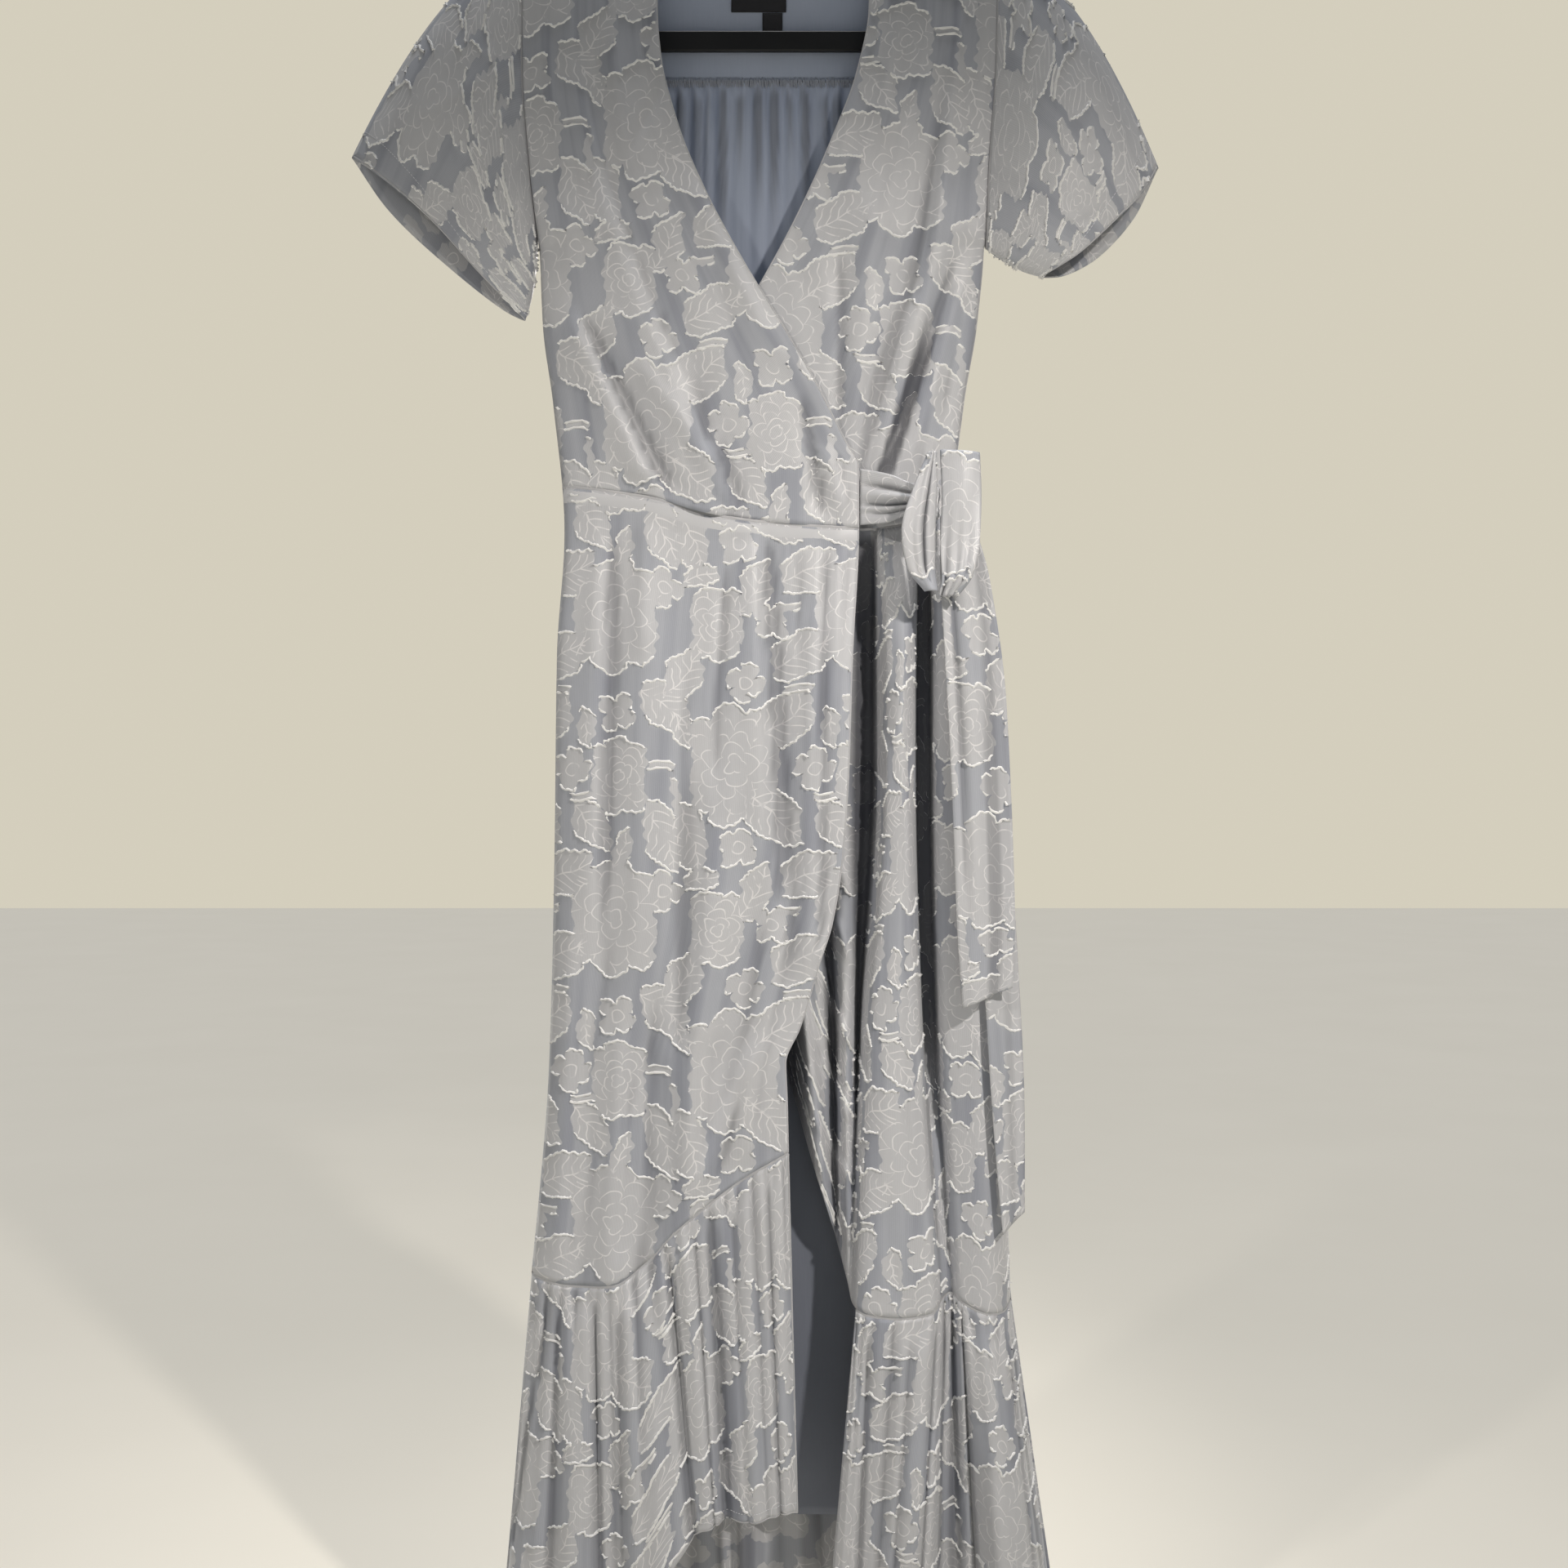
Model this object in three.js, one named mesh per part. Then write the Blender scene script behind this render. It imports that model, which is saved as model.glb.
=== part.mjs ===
// A midi wrap dress with short sleeves, a side bow and a gathered flounce, hanging on a flat clothes hanger.
// Millimetres. X runs to the viewer's right, Y towards the wall behind the dress, Z up. The hook's resting
// point is the origin. Surfaces are worked out as [across, out, down]: out is towards the viewer (-Y) and
// down is the distance below the hook (-Z).
import * as THREE from "three";

const wall = 1.4; // thickness of a cloth wall
const seam = 0.5; // from one piece's edge to the next along a seam
const halfSeam = 0.45;
const layer = 3.4; // from a panel to the panel that lies on it
const shoulderRound = 9; // how far below the shoulder line the cloth reaches its full depth
const shoulderEnds = [-190, 185]; // where the shoulder seams end, viewer's left and right
const armholeFoot = 376;
const armholeDepth = 12;
const armholeRound = 0.7; // below 1 the armhole is blunter than an ellipse
const neckHalf = 84; // from the middle to where the shoulder seams begin
const neckDown = 117;
const shoulderSlope = 0.217;
const yokeDown = 239; // the seam under the back yoke
const liningDown = 1394; // hem of the skirt's lining
const backHem = 1492;

const satin = { color: 0xb9bcc8, roughness: 0.55, metalness: 0 };
const plain = { color: 0x9fb0cf, roughness: 0.7, metalness: 0 };
const blackPlastic = { color: 0x0b0b0c, roughness: 0.6, metalness: 0 };
const steel = { color: 0xb8b8b8, roughness: 0.3, metalness: 1 };
const labelCloth = { color: 0x17181c, roughness: 0.8, metalness: 0 };

// A table keeps each named column as a list; its first column is the one it is read by.
function table(columns, rows) {
  const names = columns.split(" ");
  const kept = Object.fromEntries(names.map((name, i) => [name, rows.map((row) => row[i])]));
  return { ...kept, key: kept[names[0]], count: rows.length };
}

const mix = (a, b, t) => a + (b - a) * t;
const flat = (value) => () => value;
const clamp = (t, low = 0, high = 1) => Math.min(high, Math.max(low, t));

function ease(from, to, t) {
  const s = clamp((t - from) / (to - from));
  return s * s * (3 - 2 * s);
}

// A smooth curve through knots that is level at each crest and hollow.
function through(knots, values, at) {
  const last = knots.length - 1;
  const t = clamp(at, knots[0], knots[last]);
  let i = 0;
  while (i < last - 1 && t > knots[i + 1]) i += 1;
  const rate = (k) => (values[k + 1] - values[k]) / (knots[k + 1] - knots[k]);
  const slope = (k) => {
    if (k === 0) return rate(0);
    if (k === last) return rate(last - 1);
    const before = rate(k - 1);
    const after = rate(k);
    return before * after <= 0 ? 0 : (2 * before * after) / (before + after);
  };
  const span = knots[i + 1] - knots[i];
  const s = (t - knots[i]) / span;
  const a = values[i];
  const b = values[i + 1];
  const rise = b - a;
  const p = slope(i) * span;
  const q = slope(i + 1) * span;
  return a + s * (p + s * (3 * rise - 2 * p - q + s * (p + q - 2 * rise)));
}

const read = (list, column, at) => through(list.key, list[column], at);

// The flattened form that the dress hangs in: its outline from the front and how deep it is each way.
const form = table("down left right front back", [
  [140, -190, 185, 9, 12],
  [230, -190, 183, 19, 14],
  [320, -184, 177, 27, 15],
  [376, -178, 175, 29, 15],
  [440, -175, 169, 29, 14],
  [500, -167, 159, 26, 13],
  [602, -158, 149, 22, 13],
  [700, -164, 172, 27, 17],
  [860, -166, 185, 32, 21],
  [1020, -170, 189, 34, 25],
  [1200, -185, 196, 38, 30],
  [1330, -198, 218, 42, 36],
  [1500, -208, 236, 46, 42],
]);

// Front edge of the outer wrap: from the shoulder down the neck, past the waist and along the skirt.
const wrapEdge = table("down across", [
  [117, -84], [193, -83], [231, -80], [288, -66], [342, -44], [390, -18.5], [447, 16], [491, 42],
  [539, 67], [553, 75], [602, 75], [700, 70], [796, 66.5], [859, 62], [909, 54], [941, 44],
  [990, 29], [1017, 18], [1042, 19], [1085, 20],
]);

// Front edge of the inner wrap, which runs on under the outer one.
const innerEdge = table("down across", [
  [117, 84], [191, 83], [242, 73.5], [296, 54], [353, 29], [413, -3], [465, -36], [530, -66], [602, -80],
]);

const waistSeam = table("across down", [
  [-158, 566], [-85, 579], [-41, 592], [16, 599], [75, 602], [149, 590],
]);

// The curved seam that joins the outer skirt to its flounce, and the flounce's hem.
const tulipSeam = table("across down", [
  [-178, 1189], [-143, 1193], [-111, 1189], [-87, 1172], [-66, 1146], [-45, 1128], [-7, 1101], [20, 1085],
]);
const tulipHem = table("across down", [
  [-206, 1456], [-111, 1449], [-87, 1431], [-65, 1397], [-45, 1374], [-3, 1367], [27, 1360],
]);

const shoulderDown = (across) => neckDown + (Math.abs(across) - neckHalf) * shoulderSlope;

// Depth of the armhole's edge: an ellipse from the shoulder to the underarm, closed along the side seam.
const armholeTop = (across) => shoulderDown(shoulderEnds[across < 0 ? 0 : 1]);

function edgeDepth(across, down) {
  const top = armholeTop(across);
  const t = (down - top) / (armholeFoot - top);
  return t <= 0 || t >= 1 ? halfSeam : halfSeam + armholeDepth * (2 * Math.sqrt(t * (1 - t))) ** armholeRound;
}

// Depth of the form at a place, on the front (face 1) or the back (face -1); rise stands out of it.
function depthAt(across, down, face, rise) {
  const left = read(form, "left", down);
  const right = read(form, "right", down);
  const half = (right - left) / 2;
  const offset = clamp(Math.abs(across - (left + right) / 2) / half);
  const power = mix(1, 0.5, ease(armholeFoot - 60, armholeFoot, down));
  const full = Math.pow(1 - Math.pow(offset, 2.5), power);
  const edge = edgeDepth(across, down);
  const depth = read(form, face > 0 ? "front" : "back", down) + rise;
  const drop = clamp((down - shoulderDown(across)) / shoulderRound);
  const shoulder = Math.sqrt(1 - (1 - drop) ** 2);
  return face * (halfSeam + (edge - halfSeam + (depth - edge) * full) * shoulder);
}

// Folds are rows of crests and hollows: where each lies across the top and the foot of its panel, as a
// share of the width, and how far it stands out at the top, the middle and the foot.
function foldRise(folds, share, v) {
  const places = folds.across.map((top, i) => mix(top, folds.foot[i], v));
  const levels = ["riseTop", "riseMid", "riseFoot"].map((name) => through(places, folds[name], share));
  return through([0, 0.5, 1], levels, v);
}

// A panel between two side edges: share runs across it, v down it.
function panel({ left, right, top, foot, face = 1, lift = 0, folds, extra = flat(0), under = flat(0) }) {
  return (share, v) => {
    const down = mix(top(share), foot(share), v);
    const across = mix(left(down), right(down), share);
    const rise = lift + (folds ? foldRise(folds, share, v) : 0) + extra(v, down, across);
    return [across, depthAt(across, down, face, rise) - face * under(down), down];
  };
}

const sideLeft = (down) => read(form, "left", down);
const sideRight = (down) => read(form, "right", down);

// Soft troughs and ridges, each row one line down its panel.
const outerBodiceFolds = table("across foot riseTop riseMid riseFoot", [
  [0, 0, 0, 0, 0],
  [0.1, 0.08, 0, 2, 0],
  [0.2, 0.3, 0, 4, 1],
  [0.3, 0.5, 0, 7, 5],
  [0.42, 0.58, 1, -1, -1],
  [0.6, 0.72, 2, 2, 2],
  [0.8, 0.86, 0, 1, 1],
  [1, 1, 1, 2, 2],
]);
const innerBodiceFolds = table("across foot riseTop riseMid riseFoot", [
  [0, 0, 0, 0, 0],
  [0.3, 0.45, 0, 0, 0],
  [0.5, 0.62, 1, 1, 0],
  [0.62, 0.7, 0, -5, -4],
  [0.72, 0.78, 2, 7, 5],
  [0.84, 0.86, 1, 3, 2],
  [0.94, 0.93, 0, -1, 0],
  [1, 1, 0, 0, 0],
]);
const outerSkirtFolds = table("across foot riseTop riseMid riseFoot", [
  [0, 0, 0, 0, 0],
  [0.1, 0.08, 0, 3, 2],
  [0.2, 0.2, 0, -2, -2],
  [0.31, 0.33, 1, 4, 4],
  [0.45, 0.44, 0, -3, -4],
  [0.6, 0.6, 1, 3, 4],
  [0.78, 0.78, 0, -2, -1],
  [0.92, 0.92, 1, 2, 2],
  [1, 1, 0, 4, 3],
]);
const backSkirtFolds = table("across foot riseTop riseMid riseFoot", [
  [0, 0, 0, 0, 0],
  [0.12, 0.1, 0, 4, 5],
  [0.22, 0.2, 0, -3, -4],
  [0.34, 0.33, 1, 5, 6],
  [0.46, 0.47, 0, -4, -5],
  [0.55, 0.57, 1, 4, 6],
  [0.68, 0.68, 0, -3, -5],
  [0.8, 0.8, 1, 5, 6],
  [0.9, 0.9, 0, -2, -3],
  [1, 1, 0, 0, 0],
]);

const waistAt = (edge) => (share) => read(waistSeam, "down", mix(-158, edge, share));
const skirtTop = (edge) => (share) => waistAt(edge)(share) + seam;

const outerBodice = panel({
  left: sideLeft,
  right: (down) => read(wrapEdge, "across", down),
  top: (share) => shoulderDown(mix(shoulderEnds[0], -neckHalf, share)),
  foot: waistAt(75),
  lift: layer,
  folds: outerBodiceFolds,
});
const innerBodice = panel({
  left: (down) => read(innerEdge, "across", down),
  right: sideRight,
  top: (share) => shoulderDown(mix(neckHalf, shoulderEnds[1], share)),
  foot: (share) => read(waistSeam, "down", mix(-80, 149, share)),
  folds: innerBodiceFolds,
});
const outerSkirt = panel({
  left: sideLeft,
  right: (down) => read(wrapEdge, "across", down),
  top: skirtTop(75),
  foot: (share) => read(tulipSeam, "down", mix(-178, 20, share)),
  lift: layer,
  folds: outerSkirtFolds,
  extra: (v) => 3 * ease(0, 0.3, v),
});

// The inner skirt falls in deep folds at the viewer's right. Each row is one fold line, with its place
// across and its depth at four levels, and the level where it ends.
const innerSkirtLevels = [602, 800, 1000, 1205];
const innerSkirtFolds = table("waist high low foot outHigh outLow outFoot end", [
  [-80, -50, 18, 26, 13, 9, 9, 1036],
  [-40, -5, 30, 34, 15, 14, 14, 1076],
  [0, 25, 42, 47, 12, 21, 22, 1120],
  [40, 45, 55, 58, 10, 9, 14, 1160],
  [64, 61, 65, 66, 17, 24, 27, 1190],
  [82, 80, 73, 69, 5, 9, 32, 1204],
  [92, 91, 78, 72, 24, 27, 40, 1207],
  [97, 96, 84, 80, 33, 35, 46, 1210],
  [108, 107, 104, 104, 38, 41, 49, 1212],
  [117, 115, 120, 130, 31, 36, 46, 1209],
  [123, 122, 127, 140, 10, 12, 30, 1201],
  [131, 131, 136, 147, 9, 11, 24, 1199],
  [136, 139, 143, 155, 24, 28, 34, 1204],
  [141, 158, 164, 172, 31, 35, 39, 1211],
  [145, 174, 181, 187, 20, 23, 27, 1213],
  [149, 182, 189, 196, halfSeam, halfSeam, halfSeam, 1212],
]);

function innerSkirt(u, v) {
  const rows = innerSkirtFolds;
  const order = rows.waist.map((_, i) => i / (rows.count - 1));
  const column = (name) => through(order, rows[name], u);
  const top = read(waistSeam, "down", column("waist")) + seam;
  const down = mix(top, column("end"), v);
  const places = ["waist", "high", "low", "foot"].map(column);
  const across = through(innerSkirtLevels, places, down);
  const atWaist = depthAt(across, down, 1, 0);
  const depths = [0, ...["outHigh", "outLow", "outFoot"].map(column)];
  depths[0] = depths[1];
  const hung = through(innerSkirtLevels, depths, down);
  return [across, mix(atWaist, hung, ease(0, 0.16, v)), down];
}

const yoke = panel({
  left: sideLeft,
  right: sideRight,
  top: (share) => neckCurve(mix(...shoulderEnds, share)),
  foot: flat(yokeDown),
  face: -1,
});

// The back neck dips between the shoulder seams.
function neckCurve(across) {
  const t = Math.abs(across) / neckHalf;
  return t >= 1 ? shoulderDown(across) : neckDown + 22 * (1 - t ** 2) ** 0.7;
}

// Gathers hang from a seam: a wave that dies away below it.
function gathers(count, reach, height, length) {
  return (down, across, top) => {
    const t = (across + reach) / (2 * reach);
    if (t <= 0 || t >= 1) return 0;
    const uneven = 0.16 * Math.sin(2 * Math.PI * 2.3 * t + 1) + 0.1 * Math.sin(2 * Math.PI * 5.1 * t);
    const fade = Math.exp(-(down - top) / length) * Math.min(1, 8 * t, 8 * (1 - t));
    return height * fade * Math.sin(2 * Math.PI * (count * t + uneven));
  };
}

const gatherReach = 86; // from the middle to the last gather under the yoke
const backGathers = gathers(16, gatherReach, 1.4, 110);
const backFullness = (v) => 3 * ease(0, 0.3, v) * ease(1, 0.8, v);
const backBodice = panel({
  left: sideLeft,
  right: sideRight,
  top: flat(yokeDown + seam),
  foot: (share) => backWaist(share),
  face: -1,
  extra: (v, down, across) => backGathers(down, across, yokeDown) + backFullness(v),
});

const backWaist = (share) => mix(566, 590, share);
const backSkirt = panel({
  left: sideLeft,
  right: sideRight,
  top: (share) => backWaist(share) + seam,
  foot: (share) => mix(1189, 1212, share) + 24 * Math.sin(Math.PI * share),
  face: -1,
  folds: backSkirtFolds,
});

// The lining shows inside the back: in the neck, and below in the opening of the wrap. It lies under the
// outer cloth, with its side edges a little way in from the side seams.
const liningInset = (down) => 60 - 53 * ease(260, 380, down) + 18 * ease(700, 1150, down);
const insetLeft = (down) => sideLeft(down) + liningInset(down);
const insetRight = (down) => sideRight(down) - liningInset(down);
const liningGap = 2.8;
const insetShare = (share) => mix(-130, 125, share);
const yokeLining = panel({
  left: insetLeft,
  right: insetRight,
  top: (share) => neckCurve(insetShare(share)) + mix(5, 7, ease(70, 100, Math.abs(insetShare(share)))),
  foot: flat(yokeDown - 1),
  face: -1,
  under: flat(liningGap),
});
const bodiceLining = panel({
  left: insetLeft,
  right: insetRight,
  top: flat(yokeDown + 1),
  foot: (share) => backWaist(share) - 0.3,
  face: -1,
  under: (down) => liningGap + 1.6 * ease(240, 270, down),
  extra: (v, down, across) => backGathers(down, across, yokeDown) + backFullness(v),
});
const skirtLining = panel({
  left: insetLeft,
  right: insetRight,
  top: (share) => backWaist(share) + 0.3,
  foot: flat(liningDown),
  face: -1,
  under: (down) => 4 + 4 * ease(600, 720, down) + 5 * ease(900, 1250, down),
});

// Flounces hang from the skirt's lower edge. A row is one wave: where it leaves the seam and where it
// ends at the hem, as shares of the width, and how far it stands out at the hem.
const outerFlounceWaves = table("seam hem out", [
  [0, 0, 0],
  [0.05, 0.045, 6],
  [0.09, 0.1, 9],
  [0.125, 0.16, -4],
  [0.2, 0.25, 9],
  [0.28, 0.36, -6],
  [0.36, 0.44, 6],
  [0.44, 0.53, 10],
  [0.54, 0.66, 3],
  [0.61, 0.71, 5],
  [0.69, 0.76, -7],
  [0.79, 0.85, 7],
  [0.91, 0.94, 1],
  [1, 1, 6],
]);

function flounce({ skirt, seamShare, hemAcross, hemDown, waves, face, base = 0 }) {
  return (u, v) => {
    const start = skirt(seamShare(u), 1);
    const hem = through(waves.seam, waves.hem, u);
    const across = hemAcross(hem);
    const down = mix(start[2] + 2.4 * seam, hemDown(across, u), v);
    const stand = base + through(waves.seam, waves.out, u);
    const end = depthAt(across, down, face, stand);
    return [mix(start[0], across, v), mix(start[1], end, ease(-0.25, 0.8, v) * ease(-0.02, 0.12, v)), down];
  };
}

const outerFlounce = flounce({
  skirt: outerSkirt,
  seamShare: (u) => u,
  hemAcross: (hem) => mix(-205, 27, hem),
  hemDown: (across) => read(tulipHem, "down", across),
  waves: outerFlounceWaves,
  face: 1,
  base: layer,
});

const backWaves = 9;
const backFlounceWaves = table(
  "seam hem out",
  Array.from({ length: 2 * backWaves + 1 }, (_, i) => {
    const t = i / (2 * backWaves);
    const drift = 0.012 * Math.sin(7 * t * Math.PI) + 0.008 * Math.sin(11 * t * Math.PI + 1);
    const side = Math.min(1, 6 * t, 6 * (1 - t));
    return [t, t + drift * side, side * (i % 2 ? 8 + 2 * Math.sin(i * 1.7) : -6)];
  }),
);
const backFlounce = flounce({
  skirt: backSkirt,
  seamShare: (u) => u,
  hemAcross: (hem) => mix(-207, 234, hem),
  hemDown: (across, u) => mix(1456, 1468, u) + (backHem - 1462) * Math.sin(Math.PI * u),
  waves: backFlounceWaves,
  face: -1,
});

// The inner flounce starts at the skirt's seventh fold line, where the inner panel's edge ends.
const innerFlounceStart = 6 / 15;
const innerFlounceWaves = table("order across out", [
  [0, 50, 40],
  [0.06, 60, 50],
  [0.14, 74, 44],
  [0.24, 92, 52],
  [0.33, 108, 60],
  [0.4, 122, 54],
  [0.46, 130, 44],
  [0.52, 138, 24],
  [0.58, 152, 19],
  [0.65, 168, 24],
  [0.71, 178, 40],
  [0.76, 185, 52],
  [0.84, 202, 44],
  [0.92, 220, 24],
  [1, 231, 2 * halfSeam],
]);

function innerFlounce(u, v) {
  const start = innerSkirt(mix(innerFlounceStart, 1, u), 1);
  const across = read(innerFlounceWaves, "across", u);
  const out = read(innerFlounceWaves, "out", u);
  const down = mix(start[2] + 2 * seam, mix(1452, 1468, u), v);
  return [mix(start[0], across, v), mix(start[1], out, ease(0, 0.75, v)), down];
}

// Sleeves are tubes from the armhole to the hem. A row is a place round the sleeve: from the fold at the
// top, down the front to the underarm and up the back.
const rightSleeveHem = table("round across out down", [
  [0, -327.5, 0, 304],
  [0.1, -306, 9, 320],
  [0.25, -268, 13, 352],
  [0.4, -222, 9, 401],
  [0.5, -190, 0, 433],
  [0.6, -206, -9, 424],
  [0.75, -252, -13, 388],
  [0.9, -302, -9, 341],
  [1, -327.5, 0, 304],
]);
const leftSleeveHem = table("round across out down", [
  [0, 314, 0, 312],
  [0.1, 302, 10, 332],
  [0.25, 274, 18, 362],
  [0.4, 246, 14, 386],
  [0.5, 222, 0, 398],
  [0.6, 236, -8, 396],
  [0.75, 262, -13, 384],
  [0.9, 296, -9, 350],
  [1, 314, 0, 312],
]);

function sleeve(side, hem, topBulge, underBulge) {
  return (u, v) => {
    const around = 2 * Math.PI * u;
    const t = (1 - Math.cos(around)) / 2;
    const startDown = mix(armholeTop(side), armholeFoot, t);
    const edge = read(form, side < 0 ? "left" : "right", startDown);
    const clear = seam * (2 + 3 * t ** 4);
    const wave = Math.sin(around);
    const depth = Math.sign(wave) * armholeDepth * Math.abs(wave) ** armholeRound;
    const start = [edge + side * clear, depth, startDown];
    const end = ["across", "out", "down"].map((name) => read(hem, name, u));
    const top = (1 + Math.cos(around)) / 2;
    const bulge = [
      side * mix(underBulge.across, topBulge.across, top),
      22 * wave,
      mix(underBulge.down, topBulge.down, top),
    ];
    return start.map((value, i) => {
      const middle = (value + end[i]) / 2 + bulge[i];
      return (1 - v) ** 2 * value + 2 * v * (1 - v) * middle + v ** 2 * end[i];
    });
  };
}

const rightSleeve = sleeve(-1, rightSleeveHem, { across: -6, down: -72 }, { across: -4, down: 4 });
const leftSleeve = sleeve(1, leftSleeveHem, { across: 0, down: -71 }, { across: 2, down: 8 });

// The tie: each row is a place along it, with its middle, its width and how far its edges turn.
function ribbon(rows, ripple = () => 0) {
  return (share, v) => {
    const side = share - 0.5;
    const width = read(rows, "width", v);
    const tilt = (read(rows, "tilt", v) * Math.PI) / 180;
    const turn = (read(rows, "turn", v) * Math.PI) / 180;
    const across = read(rows, "across", v) + side * width * Math.cos(tilt) * Math.cos(turn);
    const out = read(rows, "out", v) + side * width * Math.sin(turn) + ripple(side, v);
    return [across, out, read(rows, "down", v) + side * width * Math.sin(tilt) * Math.cos(turn)];
  };
}

const tieStrap = ribbon(
  table("along across out down width tilt turn", [
    [0, 75.9, 25.9, 578, 44, 90, 0],
    [0.4, 96, 37, 581, 38, 92, 0],
    [0.8, 112, 46, 583, 25, 96, 0],
    [1, 120.1, 50, 584, 20, 98, 0],
  ]),
  (side, v) => 3.2 * ease(0, 0.4, v) * Math.cos(2 * Math.PI * 1.6 * side + 0.6),
);
const leftLobe = ribbon(
  table("along across out down width tilt turn", [
    [0, 129, 61, 550, 6, 0, 0],
    [0.25, 124, 64, 574, 17, 0, -14],
    [0.55, 118, 66, 612, 28, 0, -20],
    [0.8, 120, 65, 638, 23, 0, -18],
    [1, 128, 63, 656, 10, 0, -8],
  ]),
  (side) => 10 * (0.25 - side * side) * 2,
);
const rightLobe = ribbon(
  table("along across out down width tilt turn", [
    [0, 150, 60, 549, 30, 5, 0],
    [0.3, 151, 63, 582, 30, 3, 6],
    [0.6, 149.5, 66, 617, 30, 0, 10],
    [0.85, 147, 69, 645, 23, 0, 6],
    [1, 140.6, 64, 660, 14, 0, 0],
  ]),
  (side) => 8 * (0.25 - side * side) * 2,
);
const frontTail = ribbon(
  table("along across out down width tilt turn", [
    [0, 148, 54, 598, 24, 0, 0],
    [0.12, 155, 53, 646, 38, 0, -6],
    [0.35, 164, 52, 740, 46, 0, -8],
    [0.7, 170, 52, 880, 46, 0, -8],
    [1, 172, 52, 966, 42, -22, -8],
  ]),
  (side, v) => 2.4 * Math.cos(2 * Math.PI * 1.4 * side + 2 * v),
);
const backTail = ribbon(
  table("along across out down width tilt turn", [
    [0, 150, 49.6, 600, 20, 0, 0],
    [0.3, 170, 42, 760, 30, 0, -12],
    [0.7, 186, 38, 980, 30, 0, -20],
    [1, 194, 37, 1142, 26, -40, -24],
  ]),
  (side, v) => 1.2 * Math.cos(2 * Math.PI * side + 3 * v),
);

// A closed wall of cloth round a surface: one sheet of points moved out, one moved in, and a rim.
const step = 1e-4;

function pointOf(surface, u, v) {
  const [across, out, down] = surface(u, v);
  return new THREE.Vector3(across, -out, -down);
}

function normalOf(surface, u, v, closed) {
  const lowU = closed ? u - step : Math.max(0, u - step);
  const highU = closed ? u + step : Math.min(1, u + step);
  const wrap = (value) => (closed ? (value + 1) % 1 : value);
  const alongU = pointOf(surface, wrap(highU), v).sub(pointOf(surface, wrap(lowU), v));
  const lowV = Math.max(0, v - step);
  const highV = Math.min(1, v + step);
  const alongV = pointOf(surface, u, highV).sub(pointOf(surface, u, lowV));
  return alongU.cross(alongV).normalize();
}

function clothWall(surface, uList, vList, { closed = false, thickness = wall } = {}) {
  const columns = uList.length;
  const rows = vList.length;
  const positions = [];
  for (const sign of [1, -1]) {
    for (const v of vList) {
      for (const u of uList) {
        const normal = normalOf(surface, u, v, closed);
        const point = pointOf(surface, u, v).addScaledVector(normal, (sign * thickness) / 2);
        positions.push(point.x, point.y, point.z);
      }
    }
  }
  const sheet = columns * rows;
  const corner = (side, row, column) => side * sheet + row * columns + (column % columns);
  const faces = [];
  const quad = (a, b, c, d) => faces.push(a, b, c, a, c, d);
  const spans = closed ? columns : columns - 1;
  for (let r = 0; r < rows - 1; r += 1) {
    for (let c = 0; c < spans; c += 1) {
      quad(corner(0, r, c), corner(0, r, c + 1), corner(0, r + 1, c + 1), corner(0, r + 1, c));
      quad(corner(1, r, c), corner(1, r + 1, c), corner(1, r + 1, c + 1), corner(1, r, c + 1));
    }
  }
  for (let c = 0; c < spans; c += 1) {
    quad(corner(0, 0, c), corner(1, 0, c), corner(1, 0, c + 1), corner(0, 0, c + 1));
    const r = rows - 1;
    quad(corner(0, r, c), corner(0, r, c + 1), corner(1, r, c + 1), corner(1, r, c));
  }
  if (!closed) {
    for (let r = 0; r < rows - 1; r += 1) {
      quad(corner(0, r, 0), corner(0, r + 1, 0), corner(1, r + 1, 0), corner(1, r, 0));
      const c = columns - 1;
      quad(corner(0, r, c), corner(1, r, c), corner(1, r + 1, c), corner(0, r + 1, c));
    }
  }
  const geometry = new THREE.BufferGeometry();
  geometry.setAttribute("position", new THREE.Float32BufferAttribute(positions, 3));
  geometry.setIndex(faces);
  geometry.computeVertexNormals();
  return geometry;
}

const evenly = (count) => Array.from({ length: count + 1 }, (_, i) => i / count);
const around = (count) => Array.from({ length: count }, (_, i) => i / count);

// Columns at each fold line and between them, closer together beside a side seam.
function columnsOf(places, between, edges = []) {
  const inner = places.slice(1).flatMap((place, i) =>
    Array.from({ length: between }, (_, k) => mix(places[i], place, (k + 1) / between)),
  );
  return [...new Set([places[0], ...edges, ...inner])].sort((a, b) => a - b);
}

const shoulderRows = [0, 0.005, 0.014, 0.03, 0.07, 0.14, 0.22, 0.31, 0.4, 0.5, 0.6, 0.7, 0.8, 0.9, 1];
const yokeRows = [0, 0.02, 0.06, 0.14, 0.4, 0.7, 1];
const besideLeft = [0.012, 0.035];
const besideRight = [0.965, 0.988];
const besideBoth = [...besideLeft, ...besideRight];
const gatherColumns = (from, to) =>
  columnsOf([0, 0.08, 0.16, ...evenly(48).map((t) => mix(from, to, t)), 0.84, 0.92, 1], 1, besideBoth);

const dress = new THREE.Group();

function add(name, geometry, finish) {
  const mesh = new THREE.Mesh(geometry, new THREE.MeshStandardMaterial(finish));
  mesh.name = name;
  dress.add(mesh);
}

const addCloth = (name, surface, uList, vList, finish = satin, options = {}) =>
  add(name, clothWall(surface, uList, vList, options), finish);

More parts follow.
